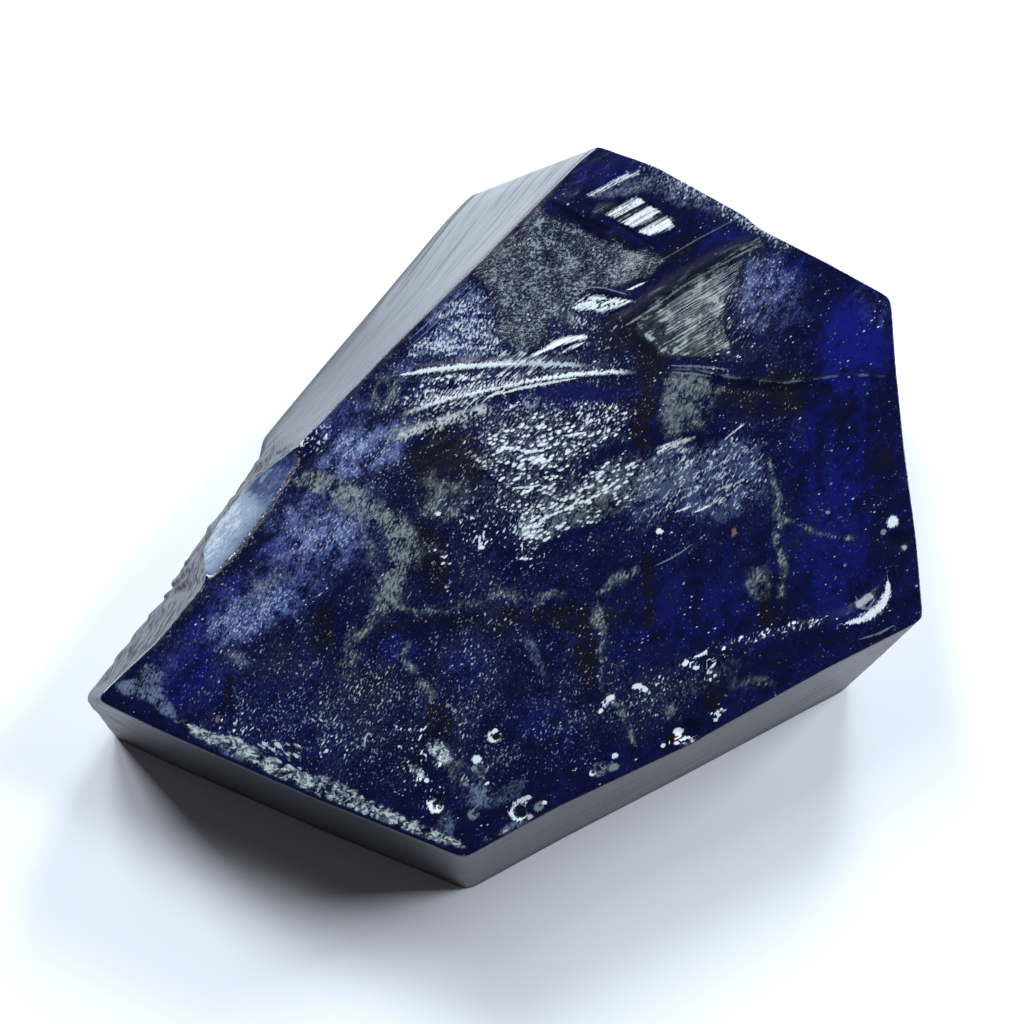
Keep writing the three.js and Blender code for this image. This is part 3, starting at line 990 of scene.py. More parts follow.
    Mark.CRACK: (Streak(CRACK.points, 0.44), Streak(SMALL_CRACK.points, 0.26)),
    Mark.DEEP: (Patch((-10.1, 2.5), 6.0, 6.0),),
    Mark.CALM: (
        Patch((5.6, 17.0), 3.4, 0.8, 15.0, 0.7),
        Patch((3.9, 5.3), 4.6, 0.8, 4.0, 0.9),
    ),
}
# Marks whose edges stay crisp. The edges of the others wander.
CRISP_MARKS = (Mark.FACET_HIGHLIGHT, Mark.CRACK, Mark.HATCH, Mark.CRUST)


@dataclass(frozen=True)
class Stop:
    """One stop of the outline: the rim of the broad face, the waist of the side and its height, the foot."""

    rim: Point
    waist: tuple[float, float, float]
    foot: Point
    ragged: float = 0.0
    pale: float = 0.0


# The stops of the outline, in mm from the slab's middle. The first is at the left tip. How pale a stop's side
# is gives a painted sheen on the upper left side.
STOPS = (
    Stop((-19.27, -9.92), (-20.11, -9.45, 4.0), (-19.02, -10.29), 0.4),
    Stop((-16.3, -11.38), (-16.25, -11.52, 4.0), (-16.2, -11.66)),
    Stop((-8.67, -14.81), (-8.63, -14.93, 3.4), (-8.6, -15.03)),
    Stop((-1.77, -17.59), (-1.7, -17.75, 3.2), (-1.63, -17.91)),
    Stop((2.67, -15.1), (2.69, -15.24, 3.2), (2.7, -15.5)),
    Stop((8.84, -12.15), (8.82, -12.2, 3.2), (8.6, -12.39)),
    Stop((15.53, -8.36), (14.9, -8.8, 3.2), (13.5, -9.74)),
    Stop((20.11, -6.01), (18.6, -6.9, 3.2), (16.93, -7.89)),
    Stop((19.86, -2.11), (18.5, -2.6, 3.2), (17.0, -3.2)),
    Stop((19.34, 2.87), (18.3, 2.7, 3.2), (16.9, 2.6)),
    Stop((19.04, 6.9), (18.1, 6.7, 3.2), (16.8, 6.6)),
    Stop((18.91, 10.04), (17.9, 9.7, 3.2), (16.6, 9.2)),
    Stop((15.88, 11.83), (14.9, 11.3, 3.2), (13.6, 10.64)),
    Stop((12.3, 13.77), (11.0, 13.3, 3.2), (9.7, 12.51)),
    Stop((12.01, 14.18), (10.7, 13.5, 3.2), (9.3, 12.7)),
    Stop((7.5, 16.81), (5.6, 16.2, 3.2), (3.6, 15.43)),
    Stop((4.61, 17.9), (1.65, 17.85, 3.25), (-1.31, 17.79), 0.0, 1.0),
    Stop((3.73, 17.12), (0.5, 16.75, 3.25), (-2.71, 16.3), 0.0, 1.0),
    Stop((-1.16, 11.88), (-3.8, 11.72, 3.0), (-6.5, 11.52), 0.0, 0.6),
    Stop((-5.27, 7.66), (-7.7, 8.05, 2.2), (-9.0, 8.42)),
    Stop((-9.4, 3.17), (-11.0, 4.62, 1.6), (-11.9, 4.72), 0.3),
    Stop((-9.95, 2.45), (-11.6, 3.75, 1.6), (-12.0, 3.8), 1.0),
    Stop((-11.1, 1.95), (-12.4, 2.5, 1.7), (-12.6, 2.6), 1.0),
    Stop((-12.15, 1.15), (-13.3, 1.2, 1.8), (-13.3, 1.3), 1.0),
    Stop((-13.65, -0.7), (-14.47, -0.63, 2.2), (-14.2, -0.6), 1.0),
    Stop((-14.4, -2.3), (-15.6, -2.6, 2.8), (-15.1, -2.4), 1.0),
    Stop((-14.1, -4.1), (-16.2, -3.9, 3.3), (-15.6, -4.1), 1.0),
    Stop((-16.38, -7.04), (-17.54, -5.94, 4.0), (-16.9, -6.5), 1.0),
    Stop((-18.25, -8.85), (-19.41, -8.41, 4.0), (-18.5, -9.0), 1.0),
)


@dataclass
class Outline:
    """The slab's outline, walked once round anticlockwise from the left tip, with its corners rounded.

    The run is how far along the outline each point is, in mm, taken as the mean of the rim and the foot.
    """

    count: int
    corner_round: float = 0.3
    rim: Array = field(init=False)
    waist: Array = field(init=False)
    foot: Array = field(init=False)
    ragged: Array = field(init=False)
    pale: Array = field(init=False)
    run: Array = field(init=False)

    def __post_init__(self) -> None:
        """Spreads the points evenly between the stops, then rounds the corners."""
        rows = np.array([(*s.rim, *s.waist, *s.foot, s.ragged, s.pale) for s in STOPS])
        rows = np.vstack([rows, rows[:1]])
        step = np.diff(rows, axis=0)
        lengths = np.hypot(step[:, 0], step[:, 1]) + np.hypot(step[:, 5], step[:, 6])
        passed = np.concatenate([[0.0], np.cumsum(lengths)])
        goals = np.arange(self.count) / self.count * passed[-1]
        walk = np.column_stack([np.interp(goals, passed, column) for column in rows.T])
        spacing = passed[-1] / 2 / self.count
        reach = math.ceil(3 * self.corner_round / spacing)
        weights = np.exp(-0.5 * (np.arange(-reach, reach + 1) * spacing / self.corner_round) ** 2)
        padded = np.vstack([walk[-reach:], walk, walk[:reach]])
        smooth = np.column_stack([np.convolve(c, weights / weights.sum(), "valid") for c in padded.T])
        self.rim, self.waist, self.foot = smooth[:, :2], smooth[:, 2:5], smooth[:, 5:7]
        self.ragged, self.pale = smooth[:, 7], smooth[:, 8]
        self.run = goals / 2


@dataclass
class Surface:
    """A closed surface as it is built: vertices in mm, triangles, and the marks of each vertex."""

    points: list = field(default_factory=list)
    marks: list = field(default_factory=list)
    faces: list = field(default_factory=list)
    sides: list = field(default_factory=list)
    count: int = 0

    def add_points(self, points: Array, marks: Array) -> Array:
        """Adds vertices, with a row of marks for each.

        Args:
            points: the vertices, in mm.
            marks: a row of marks for each.

        Returns:
            The vertices' numbers.
        """
        self.points.append(points)
        self.marks.append(marks)
        self.count += len(points)
        return np.arange(self.count - len(points), self.count)

    def add_faces(self, faces: Array, side: int) -> None:
        """Adds triangles, which belong to the broad face (0) or to the sides (1)."""
        self.faces.append(faces)
        self.sides.append(np.full(len(faces), side))

    def add_strip(self, upper: Array, lower: Array, side: int) -> None:
        """Joins two closed rows with the same number of vertices.

        Args:
            upper, lower: the numbers of the two rows' vertices.
            side: 0 for the broad face, 1 for the sides.
        """
        after_upper, after_lower = np.roll(upper, -1), np.roll(lower, -1)
        self.add_faces(np.column_stack([upper, lower, after_lower]), side)
        self.add_faces(np.column_stack([upper, after_lower, after_upper]), side)


@dataclass
class Sapphire:
    """The slab of stone, as one closed mesh."""

    face: BrokenFace = field(default_factory=BrokenFace)
    rings: int = 124
    added_by_ring: int = 8
    rim_radius: float = 0.05
    rim_strips: int = 2
    upper_strips: int = 9
    lower_strips: int = 11
    wander: tuple[Point, ...] = ((0.3, 1.7), (0.12, 0.6))
    wander_seeds: tuple[int, int] = (11, 13)
    chip_reach: float = 4.0
    chip_ends: tuple[float, float] = (0.08, 0.05)
    deep_edge: float = 0.1
    foot_shade_height: float = 1.2
    ragged_depth: float = 0.16
    ragged_lump: float = 0.55
    ragged_thread: float = 0.3
    thread_stretch: float = 0.4
    thread_share: float = 0.8
    ragged_seeds: tuple[int, int] = (5, 6)

    def sway(self, x: Array, y: Array, seed: int) -> Array:
        """How far marks are shifted at places on the face: coarse and fine lumps, of a height and a size."""
        layers = enumerate(self.wander)
        return sum(height * lumps(x, y, size, seed + i) for i, (height, size) in layers)

    def marks_at(self, x: Array, y: Array) -> Array:
        """The marks of the broad face at places on it, a column for each mark and three for each line.

        All marks but the crisp ones are looked up at places swayed by random lumps, so their edges wander.

        Args:
            x, y: the places, in mm.

        Returns:
            A row of marks for each place.
        """
        sway_x, sway_y = (self.sway(x, y, seed) for seed in self.wander_seeds)
        columns = {}
        for mark, forms in MARKS.items():
            places = (x, y) if mark in CRISP_MARKS else (x + sway_x, y + sway_y)
            columns[mark] = np.clip(sum(form.cover(*places) for form in forms), 0.0, 1.0)
        distance, along, _ = CHIP_EDGE.against(x, y)
        ends = fading(along, *self.chip_ends)
        columns[Mark.CHIP] = np.clip(-distance, 0.0, self.chip_reach) * ends
        columns[Mark.DEEP] = columns[Mark.DEEP] * ease(0.0, self.deep_edge, -distance) * ends
        rows = [columns.get(m, np.zeros(x.shape)) for m in Mark]
        for path in LINES.values():
            distance, along, fade = path.against(x, y)
            rows += [distance, along, fade]
        return np.column_stack(rows)

    def side_marks(self, outline: Outline, height: Array) -> Array:
        """The marks of the sides: how ragged, how pale (painted sheen) and how near the foot (painted shade).

        Args:
            outline: the slab's outline.
            height: the height of each point.

        Returns:
            A row of marks for each point of the outline.
        """
        rows = np.zeros((outline.count, len(Mark) + 3 * len(Line)))
        marks = list(Mark)
        rows[:, marks.index(Mark.RAGGED)] = outline.ragged
        rows[:, marks.index(Mark.PALE_SHEEN)] = outline.pale
        rows[:, marks.index(Mark.FOOT_SHADE)] = 1.0 - ease(0.0, self.foot_shade_height, height)
        return rows

    def add_broad_face(self, surface: Surface, outline: Outline) -> Array:
        """Adds the broad face as rings round the hub.

        Ring k has eight k points. Each lies on the line from the hub to its place on the rim, and k divided
        by the number of rings is how far along. Each ring's triangles join it to the ring inside, which has
        eight points fewer.

        Args:
            surface: the surface to add to.
            outline: the slab's outline.

        Returns:
            The vertex numbers of the last ring, which lies inside the rim by the rim's radius.
        """
        hub = np.array(HUB)
        reach = np.hypot(*(outline.rim - hub).T)[:, None]
        inset = outline.rim + (hub - outline.rim) * self.rim_radius / reach
        closed = np.vstack([inset, inset[:1]])
        numbers = np.arange(1, self.rings + 1)
        ring = np.repeat(numbers, self.added_by_ring * numbers)
        first = 1 + self.added_by_ring * ring * (ring - 1) // 2
        place = np.arange(1, len(ring) + 1) - first
        share = place / (self.added_by_ring * ring) * outline.count
        rim = np.column_stack([np.interp(share, np.arange(outline.count + 1), c) for c in closed.T])
        flat = np.vstack([hub, hub + (rim - hub) * (ring / self.rings)[:, None]])
        x, y = flat.T
        index = surface.add_points(np.column_stack([x, y, self.face.height(x, y)]), self.marks_at(x, y))
        near = place - place // ring
        inner_count = np.maximum(self.added_by_ring * (ring - 1), 1)
        inner_first = np.where(ring > 1, first - inner_count, 0)
        outer, after = first + place, first + (place + 1) % (self.added_by_ring * ring)
        inner, inner_after = inner_first + near % inner_count, inner_first + (near + 1) % inner_count
        surface.add_faces(np.column_stack([outer, after, inner]), 0)
        between = place % ring != ring - 1
        surface.add_faces(np.column_stack([after, inner_after, inner])[between], 0)
        return index[first[-1] :]

    def roughness(self, run: Array, height: Array) -> Array:
        """The ragged side's relief: round lumps, and threads, which are smaller lumps drawn out along it.

        Args:
            run: how far along the outline each place is, in mm.
            height: how high it is, in mm.

        Returns:
            How far the side is pushed out at each place, in mm.
        """
        seed, thread_seed = self.ragged_seeds
        round_lumps = lumps(run, height, self.ragged_lump, seed)
        threads = lumps(run * self.thread_stretch, height, self.ragged_thread, thread_seed)
        return self.ragged_depth * (round_lumps + self.thread_share * threads)

    def add_sides(self, surface: Surface, outline: Outline, last_ring: Array) -> Array:
        """Adds the rounded rim, then the sides down to the waist and down to the foot.

        The rim is a quarter circle in section. The sides are straight lines in section, from the rim to the
        waist and from the waist to the foot, and the ragged stretch also has lumps drawn out along it.

        Args:
            surface: the surface to add to.
            outline: the slab's outline.
            last_ring: the vertex numbers of the broad face's last ring.

        Returns:
            The vertex numbers of the foot row.
        """
        hub = np.array(HUB)
        inward = (hub - outline.rim) / np.hypot(*(outline.rim - hub).T)[:, None]
        upper = last_ring
        top = self.face.height(*outline.rim.T)
        face_marks = self.marks_at(*outline.rim.T)
        for k in range(1, self.rim_strips + 1):
            angle = math.pi / 2 * k / self.rim_strips
            flat = outline.rim + inward * self.rim_radius * (1 - math.sin(angle))
            row = np.column_stack([flat, top - self.rim_radius * (1 - math.cos(angle))])
            lower = surface.add_points(row, face_marks)
            surface.add_strip(upper, lower, 0)
            upper = lower
        start = np.column_stack([outline.rim, top - self.rim_radius])
        end = np.column_stack([outline.foot, np.zeros(outline.count)])
        stretches = ((start, outline.waist, self.upper_strips), (outline.waist, end, self.lower_strips))
        for part, (high, low, strips) in enumerate(stretches):
            for k in range(1, strips + 1):
                t = k / strips
                row = high + (low - high) * t
                above_foot = 1.0 if part == 0 else 1.0 - t**4
                push = self.roughness(outline.run, row[:, 2]) * outline.ragged * above_foot
                row[:, :2] -= inward * push[:, None]
                lower = surface.add_points(row, self.side_marks(outline, row[:, 2]))
                surface.add_strip(upper, lower, 1)
                upper = lower
        return upper

    def build(self) -> bpy.types.Object:
        """Makes the mesh, with its resting face as one flat polygon.

        Returns:
            The stone's object, at the origin.
        """
        outline = Outline(self.rings * self.added_by_ring)
        surface = Surface()
        last_ring = self.add_broad_face(surface, outline)
        foot_row = self.add_sides(surface, outline, last_ring)
        points = np.vstack(surface.points)
        points[:, :2] -= (points[:, :2].min(0) + points[:, :2].max(0)) / 2
        triangles = np.vstack(surface.faces)
        corners = np.concatenate([triangles.ravel(), foot_row[::-1]])
        starts = np.append(np.arange(len(triangles)) * 3, len(triangles) * 3)
        mesh = bpy.data.meshes.new("sapphire")
        mesh.vertices.add(len(points))
        mesh.vertices.foreach_set("co", (points * MM).astype(np.float32).ravel())
        mesh.loops.add(len(corners))
        mesh.loops.foreach_set("vertex_index", corners.astype(np.int32))
        mesh.polygons.add(len(starts))
        mesh.polygons.foreach_set("loop_start", starts.astype(np.int32))
        slots = np.append(np.concatenate(surface.sides), 1)
        mesh.polygons.foreach_set("material_index", slots.astype(np.int32))
        mesh.update(calc_edges=True)
        mesh.validate()
        values = np.vstack(surface.marks).astype(np.float32)
        for i, mark in enumerate(Mark):
            mesh.attributes.new(mark.value, "FLOAT", "POINT").data.foreach_set("value", values[:, i].copy())
        for i, line in enumerate(LINES):
            first = len(Mark) + 3 * i
            layer = mesh.attributes.new(line.value, "FLOAT_VECTOR", "POINT")
            layer.data.foreach_set("vector", values[:, first : first + 3].ravel())
        self.add_run(mesh, outline)
        mesh.shade_smooth()
        return bpy.data.objects.new("sapphire", mesh)

    def add_run(self, mesh: bpy.types.Mesh, outline: Outline) -> None:
        """Adds the side's own UV map: millimetres along the outline, and height.

        Args:
            mesh: the stone's mesh.
            outline: the slab's outline.
        """
        corners = np.empty(len(mesh.loops), np.int32)
        mesh.loops.foreach_get("vertex_index", corners)
        first = 1 + self.added_by_ring * self.rings * (self.rings + 1) // 2
        column = (corners - first) % outline.count
        run = outline.run[column]
        whole = outline.run[-1] + outline.run[1]
        count = len(mesh.polygons) - 1
        triangles = run[: 3 * count].reshape(-1, 3)
        wraps = np.ptp(triangles, axis=1) > whole / 2
        triangles[wraps] += np.where(triangles[wraps] < whole / 2, whole, 0.0)
        run[: 3 * count] = triangles.ravel()
        places = np.empty(3 * len(mesh.vertices), np.float32)
        mesh.vertices.foreach_get("co", places)
        heights = places[2::3][corners] / MM
        layer = mesh.uv_layers.new(name="side")
        layer.data.foreach_set("uv", np.column_stack([run, heights]).astype(np.float32).ravel())


def add_node(
    tree: bpy.types.NodeTree, kind: str, settings: dict | None = None, inputs: dict | None = None
) -> bpy.types.Node:
    """Adds one node to a tree.

    Args:
        tree: the node tree.
        kind: the node's type, without the "ShaderNode" that every one starts with.
        settings: the node's own properties, by name.
        inputs: a value or another node's output for each input, by the input's name or number.

    Returns:
        The node.
    """
    node = tree.nodes.new("ShaderNode" + kind)
    for name, value in (settings or {}).items():
        setattr(node, name, value)
    for name, value in (inputs or {}).items():
        if isinstance(value, bpy.types.NodeSocket):
            tree.links.new(value, node.inputs[name])
        else:
            node.inputs[name].default_value = value
    return node


@dataclass(frozen=True)
class Grain:
    """Random grain, drawn out in one direction, for a colour or a relief. Sizes are in mm."""

    length: float
    width: float
    angle: float = 0.0
    detail: float = 2.0
    roughness: float = 0.5
    wander: float = 0.0
    beads: bool = False

    def nodes(self, tree: bpy.types.NodeTree, place: Socket) -> Socket:
        """Adds the grain's nodes and returns its value, which has a mean of a half and a spread of a tenth.

        Beads are round instead: their value is 1 in the middle of each, less the distance from it.

        Args:
            tree: the material's node tree.
            place: where a point is, in mm.

        Returns:
            The grain's value.
        """
        turn = (0.0, 0.0, math.radians(self.angle))
        scale = (self.length, self.width, self.width)
        mapped = add_node(
            tree, "Mapping", {"vector_type": "TEXTURE"}, {"Vector": place, "Rotation": turn, "Scale": scale}
        )
        if self.beads:
            cells = add_node(tree, "TexVoronoi", inputs={"Vector": mapped.outputs["Vector"], "Scale": 1.0})
            inputs = {0: 1.0, 1: cells.outputs["Distance"]}
            return add_node(tree, "Math", {"operation": "SUBTRACT"}, inputs).outputs[0]
        noise = add_node(
            tree,
            "TexNoise",
            inputs={
                "Vector": mapped.outputs["Vector"],
                "Scale": 1.0,
                "Detail": self.detail,
                "Roughness": self.roughness,
                "Distortion": self.wander,
            },
        )
        return noise.outputs["Fac"]


@dataclass
class Canvas:
    """A material's nodes. Layers that use the same grain or the same attribute share its node."""

    tree: bpy.types.NodeTree
    place: Socket
    shared: dict = field(default_factory=dict)

    def grain(self, grain: Grain) -> Socket:
        """The value of a grain, whose nodes are added at its first use.

        Args:
            grain: the grain.

        Returns:
            Its value.
        """
        if grain not in self.shared:
            self.shared[grain] = grain.nodes(self.tree, self.place)
        return self.shared[grain]

    def attribute(self, name: str, output: str) -> Socket:
        """One output of the node that reads an attribute, which is added at its first use.

        Args:
            name: the attribute.
            output: the output's name.

        Returns:
            The output.
        """
        if name not in self.shared:
            self.shared[name] = add_node(self.tree, "Attribute", {"attribute_name": name})
        return self.shared[name].outputs[output]

    def math(self, operation: str, *values: Socket | float) -> Socket:
        """The result of one sum on up to three values."""
        return add_node(self.tree, "Math", {"operation": operation}, dict(enumerate(values))).outputs[0]

    def sway(self, total: Socket | float, grains: tuple[tuple[Grain, float], ...]) -> Socket:
        """Adds to a total the difference of each grain from a half, times the grain's sway.

        Args:
            total: the value to add to.
            grains: each grain with its sway.

        Returns:
            The new total.
        """
        total = self.math("SUBTRACT", total, sum(sway for _, sway in grains) / 2)
        for grain, sway in grains:
            total = self.math("MULTIPLY_ADD", self.grain(grain), sway, total)
        return total

    def eased(self, value: Socket, low: float, high: float, top: float) -> Socket:
        """Rises smoothly from 0 at the low value to the top at the high value."""
        inputs = {"Value": value, "From Min": low, "From Max": high, "To Max": top}
        return add_node(self.tree, "MapRange", {"interpolation_type": "SMOOTHSTEP"}, inputs).outputs["Result"]


@dataclass(frozen=True)
class Mask:
    """Where a layer lies: a mark plus the sway of each grain, eased from nothing to full between two values.

    The sum is k m + s (g - 1/2) + ..., where m is the mark, k its gain, g a grain's value and s its sway.
    Without a mark, m is nothing, and the grains alone say where the layer lies.
    """

    mark: Mark | None
    grains: tuple[tuple[Grain, float], ...]
    low: float
    high: float
    amount: float = 1.0
    gain: float = 1.0

    def total(self, canvas: Canvas) -> Socket:
        """Adds the nodes of the sum."""
        mark: Socket | float = canvas.attribute(self.mark.value, "Fac") if self.mark else 0.0
        return canvas.sway(canvas.math("MULTIPLY", mark, self.gain), self.grains)

    def nodes(self, canvas: Canvas) -> Socket:
        """Adds the mask's nodes and returns its value."""
        return canvas.eased(self.total(canvas), self.low, self.high, self.amount)


@dataclass(frozen=True)
class Inside(Mask):
    """A mask that stays inside its mark: the sum is m (1 + s (g - 1/2) + ...), so it is nothing outside."""

    def total(self, canvas: Canvas) -> Socket:
        """Adds the nodes of the sum."""
        mark = canvas.attribute(self.mark.value, "Fac")
        return canvas.math("MULTIPLY", mark, canvas.sway(1.0, self.grains))


@dataclass(frozen=True)
class LineMask:
    """A narrow band beside one of the crisp lines, with its own grain and a fade at the line's ends."""

    line: Line
    offset: float
    half: float
    soft: float
    grains: tuple[tuple[Grain, float], ...] = ()
    amount: float = 1.0

    def nodes(self, canvas: Canvas) -> Socket:
        """Full where the distance from the offset line, less the grains' sway, is under the half width.

        Args:
            canvas: the material's nodes.

        Returns:
            The mask's value.
        """
        vector = canvas.attribute(self.line.value, "Vector")
        parts = add_node(canvas.tree, "SeparateXYZ", inputs={"Vector": vector})
        away = canvas.math("ABSOLUTE", canvas.math("SUBTRACT", parts.outputs["X"], self.offset))
        depth = canvas.sway(canvas.math("SUBTRACT", self.half, away), self.grains)
        band = canvas.eased(depth, -self.soft, self.soft, self.amount)
        return canvas.math("MULTIPLY", band, parts.outputs["Z"])


@dataclass(frozen=True)
class ChipMask:
    """The inside of chips, less their holes. A hole lies toward the end of the chip's length."""

    line: Line
    soft: float
    grains: tuple[tuple[Grain, float], ...] = ()
    amount: float = 1.0
    hole_place: tuple[float, float, float] = (0.42, 0.0, 0.0)
    least_hole: float = 0.01

    def nodes(self, canvas: Canvas) -> Socket:
        """Full where the way from the middle is under 1 and the way from the hole's middle over its size.

        Args:
            canvas: the material's nodes.

        Returns:
            The mask's value.
        """
        vector = canvas.attribute(self.line.value, "Vector")
        hole = add_node(canvas.tree, "SeparateXYZ", inputs={"Vector": vector}).outputs["Z"]
        flatten = {0: vector, 1: (1.0, 1.0, 0.0)}
        flat = add_node(canvas.tree, "VectorMath", {"operation": "MULTIPLY"}, flatten).outputs[0]
        reach = add_node(canvas.tree, "VectorMath", {"operation": "LENGTH"}, {0: flat}).outputs["Value"]
        from_hole = {0: flat, 1: self.hole_place}
        clear = add_node(canvas.tree, "VectorMath", {"operation": "DISTANCE"}, from_hole).outputs["Value"]
        whole = canvas.math("LESS_THAN", hole, self.least_hole)
        past_hole = canvas.math("ADD", canvas.math("SUBTRACT", clear, hole), whole)
        depth = canvas.math("MINIMUM", canvas.math("SUBTRACT", 1.0, reach), past_hole)
        return canvas.eased(canvas.sway(depth, self.grains), -self.soft, self.soft, self.amount)


@dataclass(frozen=True)
class Layer:
    """A colour laid over the ones below it."""

    mask: Mask | LineMask | ChipMask
    colour: str
    roughness: float


@dataclass(frozen=True)
class Relief:
    """Fine relief of a surface: grain of a given height in mm, only where its mask lies if it has one."""

    grain: Grain
    height: float
    mask: Mask | None = None

    def nodes(self, canvas: Canvas) -> Socket:
        """Adds the relief's nodes, which give its height in mm.

        Args:
            canvas: the material's nodes.

        Returns:
            The height.
        """
        factor: Socket | float = self.height
        if self.mask:
            factor = canvas.math("MULTIPLY", self.mask.nodes(canvas), self.height)
        return canvas.math("MULTIPLY", canvas.grain(self.grain), factor)


@dataclass(frozen=True)
class StoneFinish:
    """A finish of the stone: a ground colour, layers over it, and fine relief."""

    name: str
    ground: str
    ground_roughness: float
    ior: float
    layers: tuple[Layer, ...]
    reliefs: tuple[Relief, ...]
    uses_side_map: bool = False

    def place(self, tree: bpy.types.NodeTree) -> Socket:
        """Where a point is, in mm: on the object, or along and up the side.

        Args:
            tree: the material's node tree.

        Returns:
            The place.
        """
        if self.uses_side_map:
            return add_node(tree, "UVMap", {"uv_map": "side"}).outputs["UV"]
        object_place = add_node(tree, "TexCoord").outputs["Object"]
        scaled = add_node(tree, "VectorMath", {"operation": "SCALE"}, {0: object_place, "Scale": 1.0 / MM})
        return scaled.outputs["Vector"]

    def material(self) -> bpy.types.Material:
        """Makes the material.

        Returns:
            The material.
        """
        material = bpy.data.materials.new(self.name)
        material.use_nodes = True
        tree = material.node_tree
        shader = tree.nodes["Principled BSDF"]
        shader.inputs["IOR"].default_value = self.ior
        canvas = Canvas(tree, self.place(tree))
        colour, roughness = linear(self.ground), self.ground_roughness
        for layer in self.layers:
            cover = layer.mask.nodes(canvas)
            colours = {0: cover, 6: colour, 7: linear(layer.colour)}
            colour = add_node(tree, "Mix", {"data_type": "RGBA"}, colours).outputs[2]
            roughnesses = {0: cover, 2: roughness, 3: layer.roughness}
            roughness = add_node(tree, "Mix", {"data_type": "FLOAT"}, roughnesses).outputs[0]
        tree.links.new(colour, shader.inputs["Base Color"])
        tree.links.new(roughness, shader.inputs["Roughness"])
        height = self.reliefs[0].nodes(canvas)
        for relief in self.reliefs[1:]:
            height = canvas.math("ADD", height, relief.nodes(canvas))
        bump = add_node(tree, "Bump", inputs={"Distance": MM, "Height": height})
        tree.links.new(bump.outputs["Normal"], shader.inputs["Normal"])
        return material


# Grains of the broken face, in mm. Blotches and mottling are the stone's own colour zones, 1 to 3 mm across.
# Beads, bands and hatching have the spacing of the ledges. The real dust and specks are 0.02 to 0.05 mm, too
# fine to show, so they are drawn at 0.1 to 0.2 mm.
BLOTCHES = Grain(2.6, 1.8, 50.0, 3.0, 0.55)
MOTTLING = Grain(0.9, 0.6, 55.0, 4.0, 0.6)
DUST = Grain(0.2, 0.1, 62.0, 3.0, 0.7)
FLECKS = Grain(0.28, 0.1, 64.0, 1.0, 0.5)
SPOTS = Grain(0.22, 0.11, 60.0, 0.0, 0.5)
SMALL_SPOTS = Grain(0.15, 0.08, 60.0, 0.0, 0.5)
BEADS = Grain(0.35, 0.16, 32.0, beads=True)
GRANULES = Grain(0.17, 0.12, 20.0, 2.0, 0.6, 0.8)
CRYSTALS = Grain(0.24, 0.2, 0.0, 3.0, 0.65, 0.8)
SCALES = Grain(0.55, 0.22, -35.0, beads=True)
LEVEL_BANDS = Grain(1.1, 0.3, 3.0, 1.0, 0.5, 0.6)
RISING_BANDS = Grain(1.3, 0.32, 28.0, 1.0, 0.5, 0.5)
WEAVE = Grain(0.36, 0.1, 54.0, 1.0, 0.5, 0.5)
HATCHING = Grain(0.9, 0.11, 42.0, 1.0, 0.5, 0.1)
STRIATION = Grain(2.4, 0.1, 31.0, 2.0, 0.55, 0.15)
WISPS = Grain(0.9, 0.35, 40.0, 3.0, 0.6, 1.0)

# The blue ground: royal blue zones, dark mottling, fine dust that has settled in scratches, and pale zones on
# the left that are partly dust and partly painted sheen.
BLUE_GROUND = (
    Layer(Mask(None, ((BLOTCHES, 4.0), (MOTTLING, 3.0)), -0.2, 0.8, 0.8), "#070c3c", 0.12),
    Layer(Inside(Mark.ROYAL, ((BLOTCHES, 3.0), (MOTTLING, 4.0)), 0.1, 1.2), "#0a1058", 0.12),
    Layer(Mask(None, ((DUST, 6.0), (MOTTLING, 4.0)), 0.0, 1.2, 0.45), "#0d1654", 0.12),
    Layer(Mask(None, ((MOTTLING, 5.0), (DUST, 5.0)), 0.0, 1.2, 0.45), "#03051a", 0.12),
    Layer(Mask(None, ((SMALL_SPOTS, 5.0), (MOTTLING, 3.0)), 1.2, 2.2, 0.6), "#4a5578", 0.3),
    Layer(Mask(Mark.SPECKS, ((DUST, 6.0), (BLOTCHES, 4.0)), 0.9, 2.1, 0.75, gain=2.0), "#262d49", 0.15),
    Layer(Mask(Mark.SPECKS, ((BLOTCHES, 4.0), (MOTTLING, 4.0)), 0.4, 1.0, 0.6), "#080b15", 0.15),
    # Pale zones on the left: partly dust, partly painted sheen.
    Layer(Inside(Mark.DUST_AND_SHEEN, ((MOTTLING, 4.0), (DUST, 4.0)), 0.1, 1.1, 0.85), "#222e60", 0.3),
    Layer(Inside(Mark.DUST_AND_SHEEN, ((MOTTLING, 5.0), (DUST, 6.0)), 0.5, 2.0, 0.75), "#46567f", 0.3),
    Layer(Inside(Mark.DUST_AND_SHEEN, ((SMALL_SPOTS, 6.0), (MOTTLING, 3.0)), 1.3, 2.4, 0.9), "#7f8b9f", 0.4),
)

